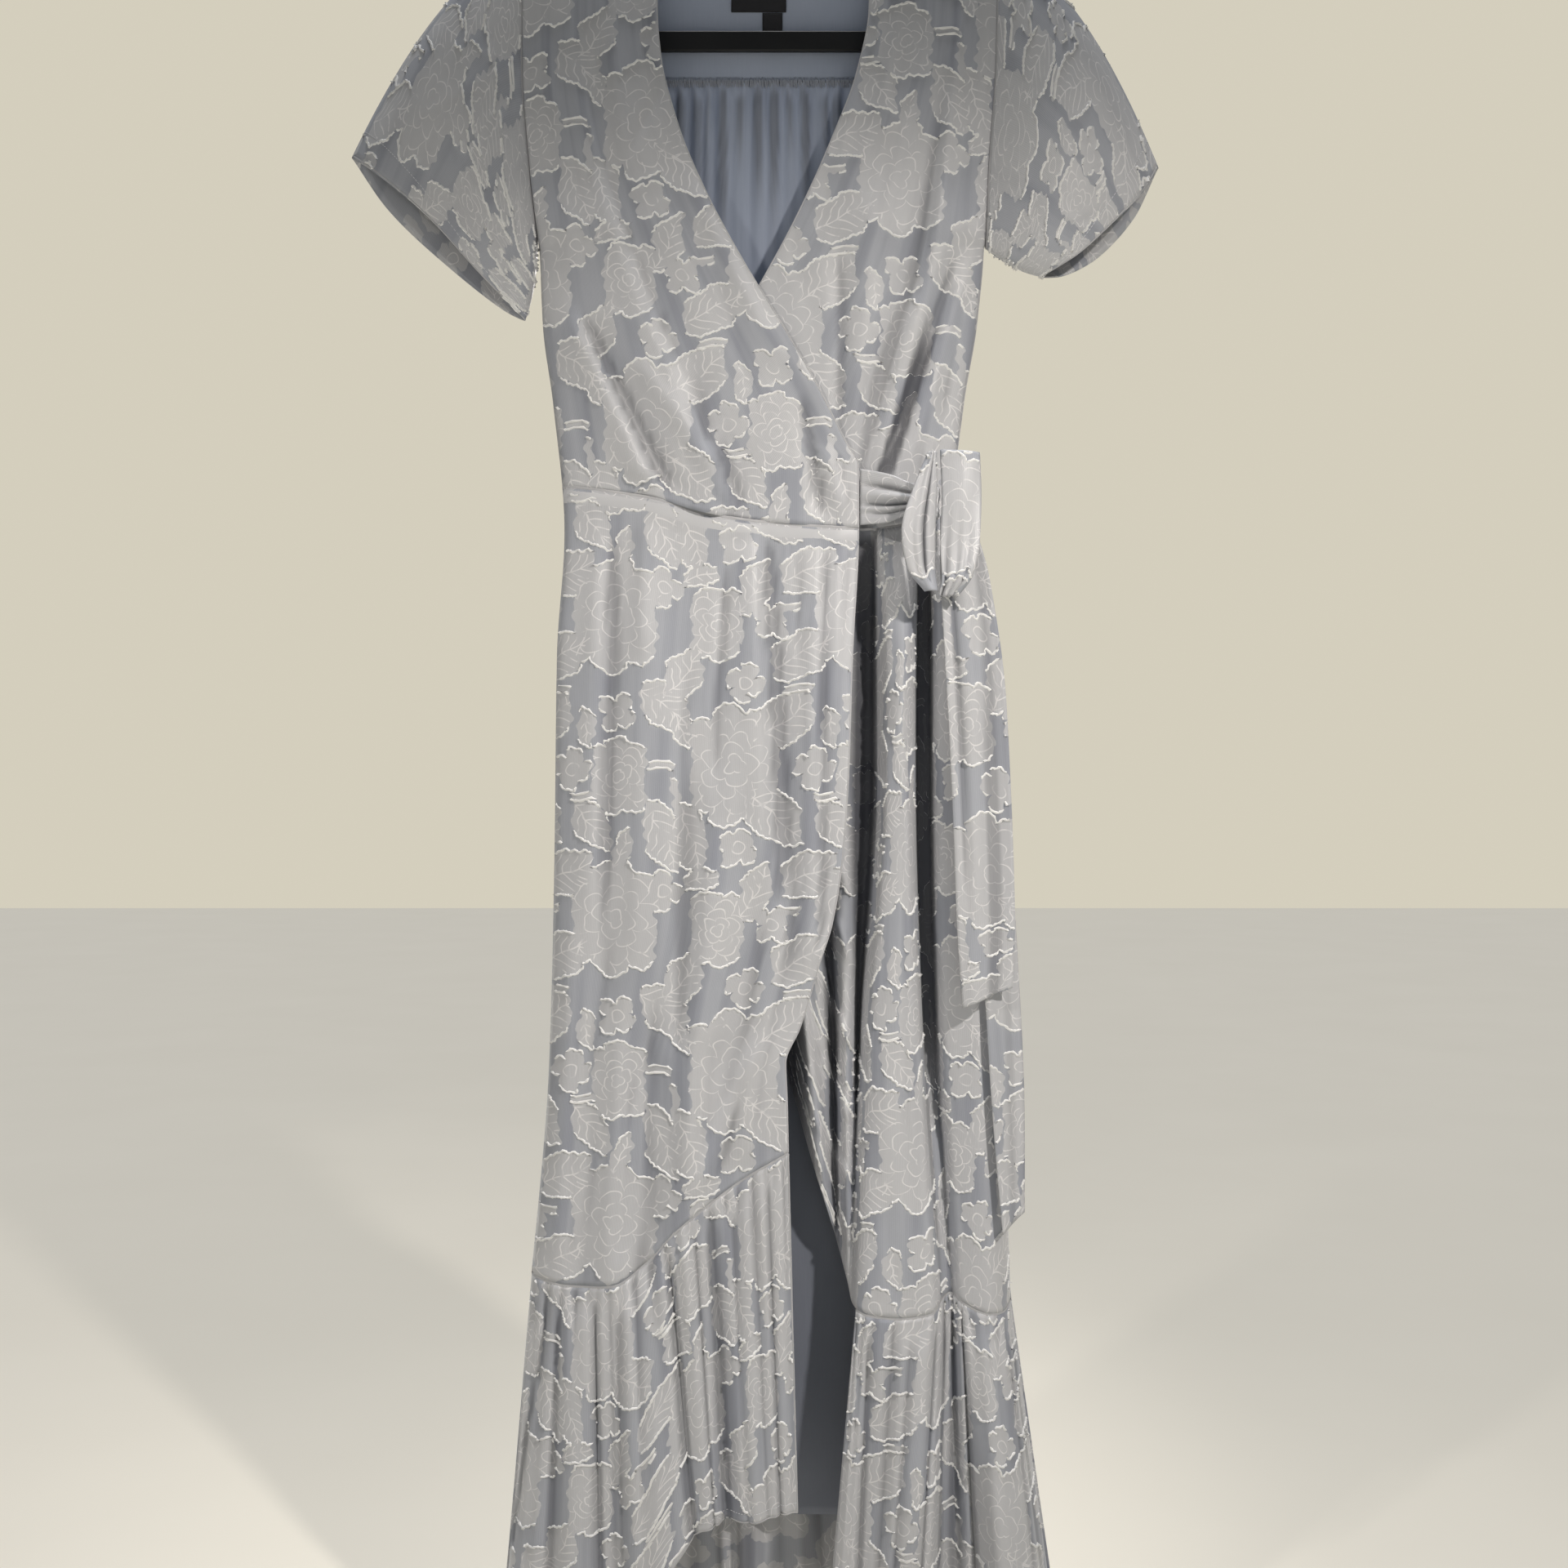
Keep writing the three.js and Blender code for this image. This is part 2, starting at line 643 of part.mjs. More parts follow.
addCloth("bodice_front_over", outerBodice, columnsOf(outerBodiceFolds.across, 2, besideLeft), shoulderRows);
addCloth("bodice_front_under", innerBodice, columnsOf(innerBodiceFolds.across, 2, besideRight), shoulderRows);
const neckCorners = [-84, -81.5, -77, 77, 81.5, 84].map((across) => (across + 190) / 375);
addCloth("back_yoke", yoke, columnsOf(evenly(12), 1, [...besideBoth, ...neckCorners]), yokeRows);
addCloth("yoke_lining", yokeLining, columnsOf(evenly(10), 1, besideBoth), yokeRows, plain);
const bodiceRows = [0, 0.12, 0.3, 0.6, 1];
addCloth("bodice_back", backBodice, gatherColumns(0.27, 0.73), bodiceRows);
addCloth("bodice_back_lining", bodiceLining, gatherColumns(0.23, 0.77), bodiceRows, plain);
addCloth("sleeve_right", rightSleeve, around(22), evenly(7), satin, { closed: true });
addCloth("sleeve_left", leftSleeve, around(22), evenly(7), satin, { closed: true });
addCloth("skirt_front_over", outerSkirt, columnsOf(outerSkirtFolds.across, 2, besideLeft), evenly(13));
addCloth("skirt_front_under", innerSkirt, evenly(30), evenly(13));
addCloth("skirt_back", backSkirt, columnsOf(backSkirtFolds.across, 2, besideBoth), evenly(10));
addCloth("skirt_back_lining", skirtLining, columnsOf(evenly(10), 1, besideBoth), evenly(7), plain);
addCloth("flounce_over", outerFlounce, columnsOf(outerFlounceWaves.seam, 2), evenly(6));
addCloth("flounce_under", innerFlounce, columnsOf(innerFlounceWaves.order, 2), evenly(6));
addCloth("flounce_back", backFlounce, columnsOf(backFlounceWaves.seam, 2), evenly(5));

const foldedCloth = { thickness: 1.8 };
addCloth("tie_strap", tieStrap, evenly(8), evenly(5), satin, foldedCloth);
addCloth("bow_loop_left", leftLobe, evenly(5), evenly(8), satin, foldedCloth);
addCloth("bow_loop_right", rightLobe, evenly(5), evenly(8), satin, foldedCloth);
addCloth("tie_tail_front", frontTail, evenly(8), evenly(10), satin, foldedCloth);
addCloth("tie_tail_back", backTail, evenly(5), evenly(10), satin, foldedCloth);

// The knot is a short turn of the tie round itself: a rounded band between the strap and the loops.
const knot = { across: 128, out: 53.5, down: 586, wide: 7.5, deep: 7.2, tall: 17, blunt: 0.55 };
const knotShape = new THREE.SphereGeometry(1, 14, 10);
const knotPoints = knotShape.attributes.position;
for (let i = 0; i < knotPoints.count; i += 1) {
  const point = [knotPoints.getX(i), knotPoints.getY(i), knotPoints.getZ(i)];
  knotPoints.setXYZ(i, ...point.map((value) => Math.sign(value) * Math.abs(value) ** knot.blunt));
}
knotShape.scale(knot.wide, knot.deep, knot.tall);
knotShape.translate(knot.across, -knot.out, -knot.down);
add("tie_knot", knotShape, satin);

// A bare woven label and a small tab below it, on the inside of the yoke's lining.
function onLining(from, to, top, foot) {
  return (share, v) => {
    const across = mix(from, to, share);
    const down = mix(top, foot, v);
    return [across, depthAt(across, down, -1, 0) + liningGap + wall / 2 + 0.8, down];
  };
}

const labelOptions = { thickness: 0.8 };
addCloth("neck_label", onLining(-26, 18, 150, 184), evenly(3), evenly(2), labelCloth, labelOptions);
addCloth("size_tab", onLining(-1, 15, 184.6, 207), evenly(1), evenly(1), labelCloth, labelOptions);

// The hanger: one flat moulding with sloping arms and a bar, and a wire hook.
const hanger = {
  thick: 5,
  bevel: 1,
  neck: 90,
  under: 2.6, // below the cloth's shoulder line at the neck
  fall: 0.025, // how much steeper the arms are than the shoulder line
  armHeight: 13,
  barTop: 203.5,
  barHeight: 16,
  shoulder: 184,
  tip: 210,
  tipDown: 166,
};
const armDown = (across) => shoulderDown(across) + hanger.under + hanger.fall * (across - neckHalf);

function hangerOutline() {
  const { neck, barTop, barHeight, shoulder, tip, tipDown } = hanger;
  const barFoot = barTop + barHeight;
  const shape = new THREE.Shape();
  shape.moveTo(-10, -neck);
  shape.lineTo(10, -neck);
  shape.quadraticCurveTo(30, -neck - 5, neckHalf, -armDown(neckHalf));
  shape.lineTo(shoulder, -armDown(shoulder));
  shape.quadraticCurveTo(201, -150, tip, -tipDown);
  shape.quadraticCurveTo(tip + 4, -tipDown - 16, 176, -barFoot);
  shape.lineTo(-176, -barFoot);
  shape.quadraticCurveTo(-tip - 4, -tipDown - 16, -tip, -tipDown);
  shape.quadraticCurveTo(-201, -150, -shoulder, -armDown(shoulder));
  shape.lineTo(-neckHalf, -armDown(neckHalf));
  shape.quadraticCurveTo(-30, -neck - 5, -10, -neck);
  return shape;
}

function hangerHole() {
  const { armHeight, barTop, neck } = hanger;
  const armFoot = (across) => -armDown(across) - armHeight;
  const hole = new THREE.Path();
  hole.moveTo(0, -neck - armHeight - 3);
  hole.lineTo(-neckHalf, armFoot(neckHalf));
  hole.lineTo(-172, armFoot(172));
  hole.quadraticCurveTo(-199, -174, -168, -barTop);
  hole.lineTo(168, -barTop);
  hole.quadraticCurveTo(199, -174, 172, armFoot(172));
  hole.lineTo(neckHalf, armFoot(neckHalf));
  hole.lineTo(0, -neck - armHeight - 3);
  return hole;
}

const outline = hangerOutline();
outline.holes.push(hangerHole());
const hangerBody = new THREE.ExtrudeGeometry(outline, {
  depth: hanger.thick - 2 * hanger.bevel,
  bevelEnabled: true,
  bevelThickness: hanger.bevel,
  bevelSize: hanger.bevel,
  bevelOffset: -hanger.bevel,
  bevelSegments: 1,
  curveSegments: 6,
});
hangerBody.rotateX(Math.PI / 2);
hangerBody.translate(0, hanger.thick / 2 - hanger.bevel, 0);
add("hanger_body", hangerBody, blackPlastic);

const hook = { radius: 19, wire: 1.7, stem: 52 };
const hookMiddle = hook.wire - hook.radius;
const stemFoot = -hanger.neck + 0.3;
const hookPath = new THREE.CatmullRomCurve3([
  new THREE.Vector3(0, 0, stemFoot),
  new THREE.Vector3(0, 0, -72),
  new THREE.Vector3(0, 0, -hook.stem),
  new THREE.Vector3(-9, 0, -40),
  ...[205, 180, 150, 120, 90, 60, 30, 0, -30].map((degrees) => {
    const angle = (degrees * Math.PI) / 180;
    return new THREE.Vector3(hook.radius * Math.cos(angle), 0, hookMiddle + hook.radius * Math.sin(angle));
  }),
]);
const wireShape = new THREE.Shape().absarc(0, 0, hook.wire, 0, 2 * Math.PI);
add(
  "hanger_hook",
  new THREE.ExtrudeGeometry(wireShape, { steps: 36, extrudePath: hookPath, curveSegments: 4 }),
  steel,
);

export default dress;
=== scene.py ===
import math
import random

import bmesh
import bpy
import numpy as np
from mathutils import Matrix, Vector


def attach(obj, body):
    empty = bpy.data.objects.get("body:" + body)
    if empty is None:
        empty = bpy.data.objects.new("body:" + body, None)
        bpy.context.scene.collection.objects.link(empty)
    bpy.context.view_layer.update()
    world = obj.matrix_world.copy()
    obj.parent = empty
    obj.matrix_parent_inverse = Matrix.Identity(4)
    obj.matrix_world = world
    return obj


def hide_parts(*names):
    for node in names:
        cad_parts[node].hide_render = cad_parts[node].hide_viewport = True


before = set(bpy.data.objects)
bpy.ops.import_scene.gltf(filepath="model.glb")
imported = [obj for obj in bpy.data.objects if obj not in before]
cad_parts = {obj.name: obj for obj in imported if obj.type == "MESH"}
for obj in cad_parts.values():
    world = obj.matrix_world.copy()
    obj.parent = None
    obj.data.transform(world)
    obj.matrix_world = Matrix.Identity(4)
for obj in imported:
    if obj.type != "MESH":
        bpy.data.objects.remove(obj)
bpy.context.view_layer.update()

scene = bpy.context.scene
mm = 0.001
halfSeam = 0.45        # how far the cloth stands from the dress's middle at its side seams
seamGap = 0.5          # between two pieces where they are sewn
layer = 3.4            # from a panel to the one that lies on it


# Small tools for the cloth's curves. All sizes here are millimetres; out is towards the viewer, down is
# the distance below the hook.
def table(columns, rows):
    names = columns.split()
    kept = {name: np.array([row[i] for row in rows], float) for i, name in enumerate(names)}
    kept["key"] = kept[names[0]]
    return kept


def mix(a, b, t):
    return a + (b - a) * t


def ease(low, high, t):
    s = np.clip((np.asarray(t, float) - low) / (high - low), 0, 1)
    return s * s * (3 - 2 * s)


def through(knots, values, at):
    # a smooth curve through knots, level at each crest and hollow
    at = np.asarray(at, float)
    t = at.ravel()
    k = np.broadcast_to(np.asarray(knots, float).reshape(len(knots), -1), (len(knots), t.size))
    w = np.broadcast_to(np.asarray(values, float).reshape(len(values), -1), (len(values), t.size))
    t = np.clip(t, k[0], k[-1])
    i = np.clip((k <= t).sum(0) - 1, 0, len(k) - 2)
    rate = np.diff(w, axis=0) / np.diff(k, axis=0)
    product = rate[:-1] * rate[1:]
    total = rate[:-1] + rate[1:]
    inner = np.where(product > 0, 2 * product / np.where(np.abs(total) < 1e-12, 1, total), 0)
    slope = np.vstack([rate[:1], inner, rate[-1:]])
    pick = lambda a, j: np.take_along_axis(a, j[None], 0)[0]
    span = pick(k, i + 1) - pick(k, i)
    s = (t - pick(k, i)) / span
    a, b = pick(w, i), pick(w, i + 1)
    p, q = pick(slope, i) * span, pick(slope, i + 1) * span
    rise = b - a
    return (a + s * (p + s * (3 * rise - 2 * p - q + s * (p + q - 2 * rise)))).reshape(at.shape)


def read(rows, column, at):
    return through(rows["key"], rows[column], at)


def inward(t, start, end):
    # 0 at both ends of a stretch, and 1 away from them
    return ease(0, start, t) * ease(1, 1 - end, t)


def bell(square):
    # a bell curve, level before its exponential gets too small to hold
    return np.exp(-np.minimum(square, 30))


# The dress's own form, its edges and seams
form = table("down left right front back", [
    [140, -190, 185, 9, 12], [230, -190, 183, 19, 14], [320, -184, 177, 27, 15], [376, -178, 175, 29, 15],
    [440, -175, 169, 29, 14], [500, -167, 159, 26, 13], [602, -158, 149, 22, 13], [700, -164, 172, 27, 17],
    [860, -166, 185, 32, 21], [1020, -170, 189, 34, 25], [1200, -185, 196, 38, 30], [1330, -198, 218, 42, 36],
    [1500, -208, 236, 46, 42],
])
wrapEdge = table("down across", [
    [117, -84], [193, -83], [231, -80], [288, -66], [342, -44], [390, -18.5], [447, 16], [491, 42],
    [539, 67], [553, 75], [602, 75], [700, 70], [796, 66.5], [859, 62], [909, 54], [941, 44],
    [990, 29], [1017, 18], [1042, 19], [1085, 20],
])
innerEdge = table("down across", [
    [117, 84], [191, 83], [242, 73.5], [296, 54], [353, 29], [413, -3], [465, -36], [530, -66], [602, -80],
])
waistSeam = table("across down", [[-158, 566], [-85, 579], [-41, 592], [16, 599], [75, 602], [149, 590]])
tulipSeam = table("across down", [
    [-178, 1189], [-143, 1193], [-111, 1189], [-87, 1172], [-66, 1146], [-45, 1128], [-7, 1101], [20, 1085],
])
tulipHem = table("across down", [
    [-206, 1456], [-111, 1449], [-87, 1431], [-65, 1397], [-45, 1374], [-3, 1367], [27, 1360],
])
neckHalf, neckDown, yokeDown, liningDown = 84, 117, 239, 1394
shoulderEnds = (-190, 185)
shoulderSlope, shoulderRound = 0.217, 9   # their fall, and how far below them the cloth has its full depth
waist = {"left": -158, "inner": -80, "wrap": 75, "right": 149}
armhole = {"foot": 376, "depth": 12, "round": 0.7, "fade": 60}
sideRound = 2.5        # how square the dress's section is; 2 is an ellipse


def shoulderDown(across):
    return neckDown + (np.abs(across) - neckHalf) * shoulderSlope


def edgeDepth(across, down):
    top = shoulderDown(np.where(across < 0, *shoulderEnds))
    t = np.clip((down - top) / (armhole["foot"] - top), 0, 1)
    return halfSeam + armhole["depth"] * (2 * np.sqrt(t * (1 - t))) ** armhole["round"]


def depthAt(across, down, face, rise):
    left, right = read(form, "left", down), read(form, "right", down)
    half = (right - left) / 2
    offset = np.clip(np.abs(across - (left + right) / 2) / half, 0, 1)
    power = mix(1, 0.5, ease(armhole["foot"] - armhole["fade"], armhole["foot"], down))
    full = (1 - offset ** sideRound) ** power
    edge = edgeDepth(across, down)
    depth = read(form, "front" if face > 0 else "back", down) + rise
    drop = np.clip((down - shoulderDown(across)) / shoulderRound, 0, 1)
    shoulder = np.sqrt(1 - (1 - drop) ** 2)
    return face * (halfSeam + (edge - halfSeam + (depth - edge) * full) * shoulder)


def foldRise(folds, share, v):
    share, v = np.broadcast_arrays(share, v)
    places = mix(folds["across"][:, None], folds["foot"][:, None], v.ravel())
    levels = [through(places, folds[name], share.ravel()) for name in ("riseTop", "riseMid", "riseFoot")]
    return through([0, 0.5, 1], np.array(levels), v.ravel()).reshape(v.shape)


smallCrease = {"across": (-200, 220), "down": (120, 1500), "long": (35, 120), "wide": (4, 9)}
laidHigh = 1.9         # how many times the height in its row a laid crease stands


def smallCreases(seed, count, high, leaning=0.12):
    # short soft creases, uneven in place, length and depth; the same ones each run
    draw = random.Random(seed)
    rows = []
    for _ in range(count):
        spread = [draw.uniform(*smallCrease[name]) for name in ("across", "down", "long", "wide")]
        rows.append((*spread, draw.uniform(-1, 1) * high, draw.gauss(0, leaning)))

    def rise(across, down):
        total = np.zeros(np.broadcast(across, down).shape)
        for x, z, length, width, height, lean in rows:
            along = (down - z) / length
            off = (across - x - lean * (down - z)) / width
            total += height * bell(along ** 2 + off ** 2)
        return total
    return rise


def laidCreases(rows, fine):
    # creases laid on top of the fine ones. A row has across and down of where a crease starts and
    # ends, the width of its left and right flank, and its height.
    def rise(across, down):
        total = fine(across, down)
        for x0, d0, x1, d1, leftWidth, rightWidth, high in rows:
            length = math.hypot(x1 - x0, d1 - d0)
            ax, ad = (x1 - x0) / length, (d1 - d0) / length
            along = ((across - x0) * ax + (down - d0) * ad) / length
            off = (across - x0) * ad - (down - d0) * ax
            width = np.where(off < 0, leftWidth, rightWidth)
            fade = ease(-0.12, 0.18, along) * ease(1.12, 0.82, along)
            total = total + laidHigh * high * fade * bell((off / width) ** 2)
        return total
    return rise


def panel(left, right, top, foot, face=1, lift=0, folds=None, extra=None, under=None, creases=None):
    def surface(share, v):
        down = mix(top(share), foot(share), v)
        across = mix(left(down), right(down), share)
        rise = lift + (foldRise(folds, share, v) if folds else 0) + (extra(v, down, across) if extra else 0)
        if creases:
            rise = rise + creases(across, down) * inward(share, 0.06, 0.06) * inward(v, 0.05, 0.05)
        return across, depthAt(across, down, face, rise) - (face * under(down) if under else 0), down

    def place(across, down):
        # the share and v of a place on the cloth
        a, b = left(down), right(down)
        share = (across - a) / (b - a)
        return share, (down - top(share)) / (foot(share) - top(share))
    surface.place = place
    return surface


def sideLeft(down):
    return read(form, "left", down)


def sideRight(down):
    return read(form, "right", down)


def wrapAcross(down):
    return read(wrapEdge, "across", down)


outerBodiceFolds = table("across foot riseTop riseMid riseFoot", [
    [0, 0, 0, 0, 0], [0.1, 0.08, 0, 2, 0], [0.2, 0.3, 0, 4, 1], [0.3, 0.5, 0, 7, 5],
    [0.42, 0.58, 1, -1, -1], [0.6, 0.72, 2, 2, 2], [0.8, 0.86, 0, 1, 1], [1, 1, 1, 2, 2],
])
innerBodiceFolds = table("across foot riseTop riseMid riseFoot", [
    [0, 0, 0, 0, 0], [0.3, 0.45, 0, 0, 0], [0.5, 0.62, 1, 1, 0], [0.62, 0.7, 0, -5, -4],
    [0.72, 0.78, 2, 7, 5], [0.84, 0.86, 1, 3, 2], [0.94, 0.93, 0, -1, 0], [1, 1, 0, 0, 0],
])
outerSkirtFolds = table("across foot riseTop riseMid riseFoot", [
    [0, 0, 0, 0, 0], [0.1, 0.08, 0, 4.5, 3], [0.2, 0.2, 0, -3, -3], [0.31, 0.33, 1.5, 6, 6],
    [0.45, 0.44, 0, -4.5, -6], [0.6, 0.6, 1.5, 4.5, 6], [0.78, 0.78, 0, -3, -1.5], [0.92, 0.92, 1.5, 3, 3],
    [1, 1, 0, 6, 4.5],
])
backSkirtFolds = table("across foot riseTop riseMid riseFoot", [
    [0, 0, 0, 0, 0], [0.12, 0.1, 0, 4, 5], [0.22, 0.2, 0, -3, -4], [0.34, 0.33, 1, 5, 6],
    [0.46, 0.47, 0, -4, -5], [0.55, 0.57, 1, 4, 6], [0.68, 0.68, 0, -3, -5], [0.8, 0.8, 1, 5, 6],
    [0.9, 0.9, 0, -2, -3], [1, 1, 0, 0, 0],
])


neckDrop = 22          # how far the back neck dips in its middle
backWaistDown = (566, 590)


def neckCurve(across):
    t = np.clip(np.abs(across) / neckHalf, 0, 1)
    return np.where(t >= 1, shoulderDown(across), neckDown + neckDrop * (1 - t ** 2) ** 0.7)


def backWaist(share):
    return mix(*backWaistDown, share)


yokeGathers = {"half": 86, "count": 16, "high": 1.4, "fade": 110}


def backGathers(down, across):
    half = yokeGathers["half"]
    t = np.clip((across + half) / (2 * half), 0, 1)
    uneven = 0.16 * np.sin(2 * np.pi * 2.3 * t + 1) + 0.1 * np.sin(2 * np.pi * 5.1 * t)
    fade = np.exp(-(down - yokeDown) / yokeGathers["fade"]) * np.minimum(1, np.minimum(8 * t, 8 * (1 - t)))
    return yokeGathers["high"] * fade * np.sin(2 * np.pi * (yokeGathers["count"] * t + uneven))


def backBodiceExtra(v, down, across):
    return backGathers(down, across) + 3 * inward(v, 0.3, 0.2)


def liningInset(down):
    # 60 inside the dress's sides at the shoulders, 7 at the waist and 25 at the hem
    return 60 - 53 * ease(260, 380, down) + 18 * ease(700, 1150, down)


def flat(value):
    return lambda share: value + 0 * share


outerBodiceCreases = laidCreases([
    (-152, 432, -80, 584, 20, 5, 5.5), (-139, 440, -68, 582, 5, 9, -4), (-44, 540, -24, 590, 6, 5, 2.4),
    (48, 540, 63, 596, 6, 4, 2.2), (30, 500, 46, 598, 5, 7, -2.2), (-172, 470, -168, 560, 6, 5, 1.6),
    (-120, 150, -108, 330, 9, 7, 1.6), (-60, 330, 8, 470, 12, 9, 1.8), (-100, 470, -30, 560, 9, 6, 1.7),
    (-165, 250, -150, 400, 8, 6, 1.5),
], smallCreases(3, 200, 1.3, 0.35))
outerBodice = panel(sideLeft, wrapAcross, lambda s: shoulderDown(mix(shoulderEnds[0], -neckHalf, s)),
                    lambda s: read(waistSeam, "down", mix(waist["left"], waist["wrap"], s)),
                    lift=layer, folds=outerBodiceFolds, creases=outerBodiceCreases)
innerBodiceCreases = laidCreases([
    (152, 385, 98, 545, 6, 9, -4.5), (160, 400, 112, 560, 8, 6, 3.4), (120, 420, 84, 560, 8, 6, 2.4),
    (90, 330, 70, 520, 10, 7, 1.8), (150, 200, 140, 360, 9, 6, 2.0), (60, 380, 62, 540, 7, 8, -1.8),
    (110, 150, 96, 300, 9, 9, 1.4), (138, 480, 128, 585, 5, 5, 2.2),
], smallCreases(4, 200, 1.2, 0.25))
innerBodice = panel(lambda d: read(innerEdge, "across", d), sideRight,
                    lambda s: shoulderDown(mix(neckHalf, shoulderEnds[1], s)),
                    lambda s: read(waistSeam, "down", mix(waist["inner"], waist["right"], s)),
                    folds=innerBodiceFolds, creases=innerBodiceCreases)
outerSkirtCreases = laidCreases([
    (-128, 600, -134, 900, 10, 4, 3.6), (-118, 620, -124, 880, 4, 8, -3.4), (-8, 606, 4, 900, 12, 4, 3.2),
    (4, 620, 16, 860, 4, 9, -3.2), (40, 620, 36, 980, 8, 4, 2.8), (-70, 700, -78, 1080, 10, 8, 1.8),
    (-40, 860, -60, 1120, 9, 7, 2.2), (-150, 900, -160, 1180, 8, 5, 2.4),
    (-100, 960, -112, 1180, 6, 9, -2.2), (14, 900, -20, 1090, 7, 6, 2.2),
    (-30, 640, -36, 800, 6, 6, -1.6), (-90, 590, -94, 700, 6, 5, 1.8), (58, 610, 54, 760, 4, 5, 1.8),
    (-10, 1010, -50, 1120, 8, 5, 1.8),
], smallCreases(5, 240, 1.2))
outerSkirt = panel(sideLeft, wrapAcross,
                   lambda s: read(waistSeam, "down", mix(waist["left"], waist["wrap"], s)) + seamGap,
                   lambda s: read(tulipSeam, "down", mix(-178, 20, s)), lift=layer, folds=outerSkirtFolds,
                   extra=lambda v, d, x: 3 * ease(0, 0.3, v) + 0.9 * ease(0.026, 0.022, v),
                   creases=outerSkirtCreases)
backYoke = panel(sideLeft, sideRight, lambda s: neckCurve(mix(*shoulderEnds, s)), flat(yokeDown), face=-1)
backBodiceCreases = laidCreases([
    (-80, 250, -96, 480, 9, 6, 2.2), (-20, 250, -26, 520, 8, 9, -1.8), (50, 260, 60, 540, 9, 6, 2.2),
    (120, 300, 128, 560, 9, 6, 2.0), (-130, 330, -120, 560, 8, 8, 1.8),
], smallCreases(6, 120, 0.8))
backBodice = panel(sideLeft, sideRight, flat(yokeDown + seamGap), backWaist, face=-1, extra=backBodiceExtra,
                   creases=backBodiceCreases)
backSkirtCreases = laidCreases([
    (-120, 600, -130, 960, 10, 6, 2.8), (-60, 620, -66, 900, 6, 9, -2.4), (10, 600, 14, 1000, 12, 7, 2.8),
    (84, 620, 96, 980, 9, 6, 2.6), (140, 640, 158, 1100, 8, 6, 2.4), (-160, 820, -172, 1150, 8, 6, 2.2),
    (50, 800, 60, 1160, 6, 9, -2.2), (-20, 900, -26, 1190, 9, 6, 2.4),
], smallCreases(7, 200, 0.8))
backSkirt = panel(sideLeft, sideRight, lambda s: backWaist(s) + seamGap,
                  lambda s: mix(1189, 1212, s) + 24 * np.sin(np.pi * s), face=-1, folds=backSkirtFolds,
                  creases=backSkirtCreases)


def insetLeft(down):
    return sideLeft(down) + liningInset(down)


def insetRight(down):
    return sideRight(down) - liningInset(down)


def yokeLiningTop(share):
    across = mix(-130, 125, share)
    return neckCurve(across) + mix(5, 7, ease(70, 100, np.abs(across)))


liningUnder = 2.8      # from the back's cloth to the yoke's and bodice's lining
yokeLining = panel(insetLeft, insetRight, yokeLiningTop, flat(yokeDown - 1), face=-1, under=flat(liningUnder))
insideGathers = table("across width", [
    [-82, 5], [-70, 3], [-58, 6], [-47, 3], [-39, 4], [-24, 4], [-12, 7], [2, 3], [16, 5], [27, 4],
    [41, 6], [52, 3], [63, 4], [76, 5],
])
fullness = {"high": 6.5, "run": 30, "lean": 0.05 / 100}


def insideFullness(down, across):
    # the gathered lining stands inwards between narrow dark valleys that fade out downwards
    below = down - yokeDown
    total = np.zeros(np.broadcast(across, down).shape)
    for x, width in zip(insideGathers["across"], insideGathers["width"]):
        spread = width * (0.5 + below / 190)
        valley = np.exp(-((across - x - fullness["lean"] * x * below) / spread) ** 2)
        total += valley * np.exp(-np.maximum(below, 0) / (fullness["run"] * width))
    return fullness["high"] * ease(238, 262, down) * np.clip(1 - total, 0, 1) * ease(480, 300, down)


def bodiceLiningExtra(v, down, across):
    return backBodiceExtra(v, down, across) - insideFullness(down, across) * ease(110, 86, np.abs(across))


bodiceLining = panel(insetLeft, insetRight, flat(yokeDown + 1), lambda s: backWaist(s) - 0.3, face=-1,
                     under=lambda d: liningUnder + 1.6 * ease(240, 270, d), extra=bodiceLiningExtra)
skirtLining = panel(insetLeft, insetRight, lambda s: backWaist(s) + 0.3, flat(liningDown), face=-1,
                    under=lambda d: 4 + 4 * ease(600, 720, d) + 5 * ease(900, 1250, d),
                    creases=smallCreases(8, 40, 0.8))

# The inner skirt's deep folds at the side, left to right
innerSkirtFolds = table("waist high low foot outHigh outLow outFoot end", [
    [-80, -50, 18, 26, 13, 9, 9, 1036], [-40, -5, 30, 34, 15, 14, 14, 1076],
    [0, 25, 42, 47, 12, 21, 22, 1120], [40, 45, 55, 58, 10, 9, 14, 1160],
    [64, 61, 65, 66, 17, 24, 27, 1190], [84, 83, 75, 69, 5, 9, 32, 1204],
    [93, 93, 80, 72, 24, 27, 40, 1207], [98, 97, 85, 80, 33, 35, 46, 1210],
    [108, 107, 104, 104, 38, 41, 49, 1212], [117, 115, 120, 130, 31, 36, 46, 1209],
    [123, 122, 127, 140, 10, 12, 30, 1201], [131, 131, 136, 147, 9, 11, 24, 1199],
    [136, 139, 143, 155, 24, 28, 34, 1204], [141, 158, 164, 172, 31, 35, 39, 1211],
    [145, 174, 181, 187, 20, 23, 27, 1213], [149, 182, 189, 196, halfSeam, halfSeam, halfSeam, 1212],
])
